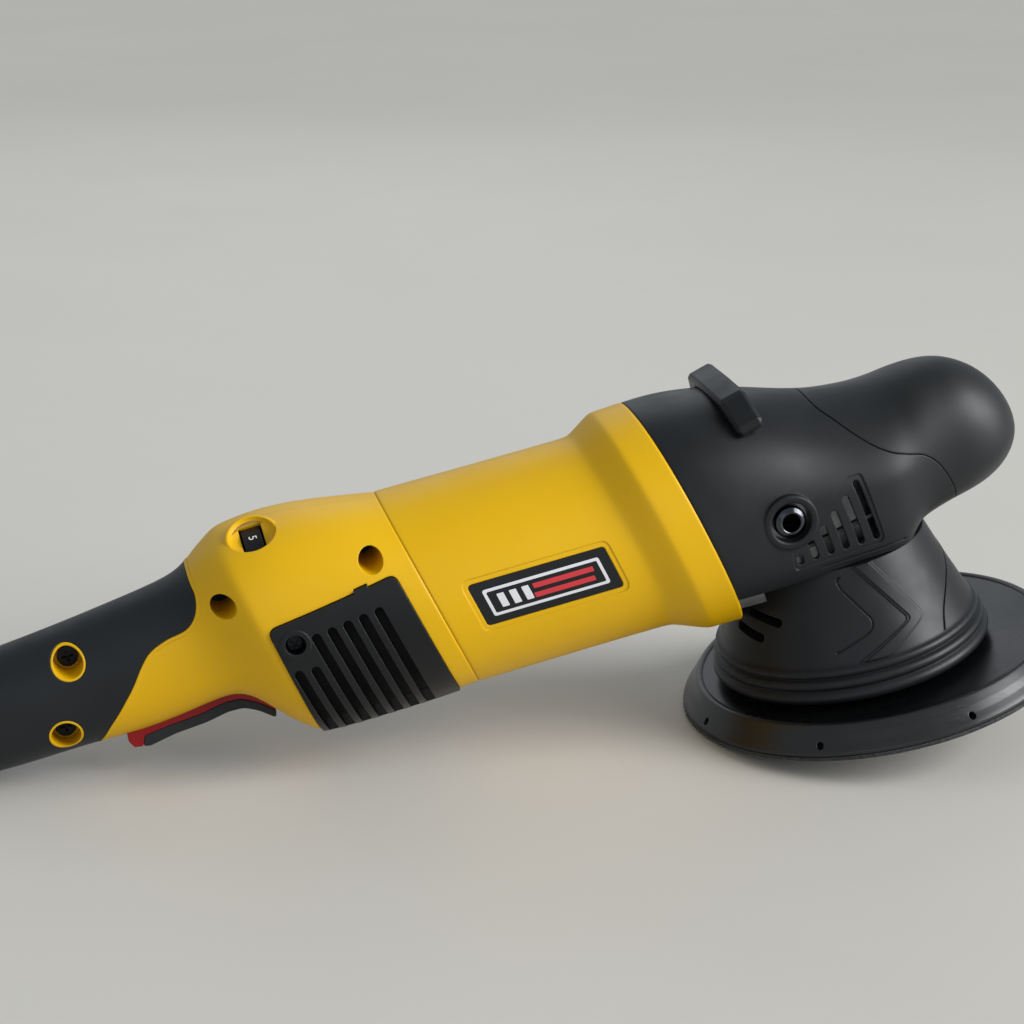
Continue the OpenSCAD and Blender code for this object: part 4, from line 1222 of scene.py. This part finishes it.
# %% [markdown]
# ## The shroud
# A cone of black nylon with three beads around its foot. It keeps fingers off the spinning
# counterweight. The profile is drawn once and spun. On each side an arrow rises in two steps of
# 0.45 mm. Each step is cut out of a slightly larger cone, so that it follows the surface, and
# the fine grooves are cut in the same way. Two slots at the back let cooling air out.

# %% Shroud profile
CONE_KEY = [(48.6, 27.2), (46.7, 31.4), (44.8, 36), (42.7, 41), (40.8, 46), (39.1, 50),
            (37.6, 54), (35.6, 59.4)]
CONE_IN = [(33.0, 59.4), (33.8, 53), (36.8, 45), (40.8, 35), (44.8, 26.6), (46.6, 20),
           (SHROUD_R - 5.2, SHROUD_LOW + 1)]
CONE = smooth_line(CONE_KEY, 3)


def bead(inset, high, radius, start, end, steps=9):
    """An arc of the profile, between two angles in degrees."""
    turns = [math.radians(start + (end - start) * k / steps) for k in range(steps + 1)]
    return [(SHROUD_R - inset + radius * math.cos(t), SHROUD_LOW + high + radius * math.sin(t))
            for t in turns]


BEADS = (bead(2.5, 2.4, 2.5, -90, 62) + bead(3.3, 6.9, 2.2, -52, 58)
         + bead(4.8, 10.9, 2.1, -48, 70))


# %% Skins, outlines and mirrored cuts for the cone
def cone_skin(low, high):
    """A shell of the cone, from low to high off its surface."""
    profile = [(r + high, z) for r, z in CONE] + [(r + low, z) for r, z in CONE[::-1]]
    return lathe(profile[::-1], 240)


def seen_from(angle, outline):
    """An outline of width and height, extruded outwards at an angle about Z."""
    slab = extruded([(10, y, z) for y, z in outline], (REACH, 0, 0))
    slab.data.transform(Matrix.Rotation(math.radians(angle), 4, "Z"))
    return slab


def both_sides(shroud, shape, how="DIFFERENCE"):
    """Adds or cuts a shape and its mirror image."""
    twin = copy_of(shape)
    twin.data.transform(Matrix.Scale(-1, 4, (0, 1, 0)))
    twin.data.flip_normals()
    combine(shroud, twin, how)
    combine(shroud, shape, how)


# %% Shroud: the cone and its arrows
RIGHT = -92
ARROW = [(-2.7, 60), (4.8, 60), (20.5, 35.7), (4.5, 27.3), (-8.8, 27.3), (13.6, 36.6)]
ARROW_INWARDS = [1, -1, -1, -1.9, 1.9, 1]
ARROW_CORNERS = [0, 0, 2.2, 0, 0, 1.6]
shroud = lathe(BEADS + CONE + CONE_IN, 240)
for inset, high in ((0, 0.45), (1.1, 0.9)):
    moved = [(y + inset * inwards, z) for (y, z), inwards in zip(ARROW, ARROW_INWARDS)]
    arrow = seen_from(RIGHT, rounded(moved, ARROW_CORNERS, 4))
    both_sides(shroud, combine(cone_skin(-1.2, high), arrow, "INTERSECT"), "UNION")

# %% Shroud: fine grooves, and two slots at the back
bay = rounded([(2, 56.9), (-9.2, 56.5), (-8.2, 52.4), (-0.1, 40.2), (-0.6, 37.6), (-2.8, 36),
               (-15.8, 31.2), (-26, 28.4)], [0, 1.6, 1, 3, 2, 3, 4, 0], 4)[1:-1]
seam = smooth_line([(25, 50.5), (17.8, 46.2), (8.5, 42.6), (0, 38.9), (-8.5, 33.6), (-14.6, 27)], 4)
for line, angle, half, depth in ((bay, RIGHT, 0.35, 0.55), (seam, -41.5, 0.4, 0.7)):
    groove = seen_from(angle, strip(line, half, -half))
    both_sides(shroud, combine(cone_skin(-depth, 1.2), groove, "INTERSECT"))
for angle, start_z, end_z, half in ((-159, 38.4, 36.2, 6.6), (-150, 44.6, 42.2, 7)):
    opening = seen_from(angle, capsule(-half, start_z, half, end_z, 3.2))
    both_sides(shroud, combine(opening, cone_skin(-6, 2), "INTERSECT"))
settle(shroud, "guard_cone", "root", "black_plastic", charcoal, "shroud")

# %% [markdown]
# ## Backing plate
# A cast urethane disc, 150 mm across, off the spindle's axis by half of its orbit. Its top is
# glossy inside a thin lip, and its rim is a satin bevel with eight small holes. It is turned,
# and the faces of its flat top are then picked by place for the glossier finish.

# %% Backing plate
PLATE_HOLES = 8
GLOSSY_OVER = 10
GLOSSY_R = 66
on_plate = Matrix.Translation((ORBIT, 0, 0))
plate_profile = [(3.2, 7), (9, 7), (9, 1.5), (74.4, 1.5), (74.9, 2.2), (74.8, 3.2), (74.0, 4.2),
                 (72.4, 6.0), (70.6, 8.4), (68.9, 10.4), (68.2, 11.2), (67.2, 11.55),
                 (66.2, 11.2), (65.6, 10.75), (24, 10.6), (22.6, 11.4), (22, 12), (9, 12),
                 (9, 9), (3.2, 9)]
plate_corners = [0.2, 0.3, 0.3, 0.5, 0.4, 0.8, 1.5, 4, 6, 3, 1, 0.6, 0.6, 0.5, 0.5, 1, 0.5, 0.3,
                 0.3, 0.2]
plate = lathe(rounded(plate_profile, plate_corners, 4), 256)
for k in range(PLATE_HOLES):
    angle = math.radians(10) + math.tau * k / PLATE_HOLES
    out = Vector((math.cos(angle), math.sin(angle), 0))
    combine(plate, bar(1.35, out * 67.5 + Vector((0, 0, 4.6)), out * 80 + Vector((0, 0, 6.6)), 24))
for face in plate.data.polygons:
    face.material_index = int(face.center.z > GLOSSY_OVER and face.center.xy.length < GLOSSY_R)
plate.data.transform(on_plate)
settle(plate, "backing_disc", "plate", "plate_foam", [plate_rim, plate_gloss], "backing_plate")

# %% [markdown]
# ## Hook tape
# A woven disc under the plate. Its loose hooks stand out round the rim as a fringe. One fibre is
# modelled, bent a little upwards, and copied round the rim, each at its own height and length.

# %% Hook tape with its fringe
FIBRES = 760
tape_profile = rounded([(10, 0), (74.6, 0), (75, 0.4), (75, 1.5), (10, 1.5)],
                       [0.2, 0.4, 0.3, 0.1, 0.1], 3)
tape = lathe(tape_profile, 192)
fibre = bar(0.16, (0, 0, 0), (0.75, 0, -0.2), 5, 0.07)
for vertex in fibre.data.vertices:
    vertex.co.z += 0.5 * max(0.0, vertex.co.x - 0.3)
fringe = []
for k in range(FIBRES):
    jitter = math.sin(k * 12.9898) * 43758.5453
    jitter -= math.floor(jitter)
    round_rim = Matrix.Rotation(math.tau * k / FIBRES, 4, "Z")
    lift = Matrix.Translation((74.75, 0, 0.35 + 0.8 * jitter))
    turn = Matrix.Rotation((jitter - 0.5) * 1.2, 4, "Z")
    tuft = copy_of(fibre)
    tuft.data.transform(round_rim @ lift @ turn @ Matrix.Scale(0.7 + 0.6 * jitter, 4))
    fringe.append(tuft)
bpy.data.objects.remove(fibre)
join(tape, *fringe)
tape.data.transform(on_plate)
settle(tape, "hook_tape", "plate", "hook_fabric", hooks, "hook_face")
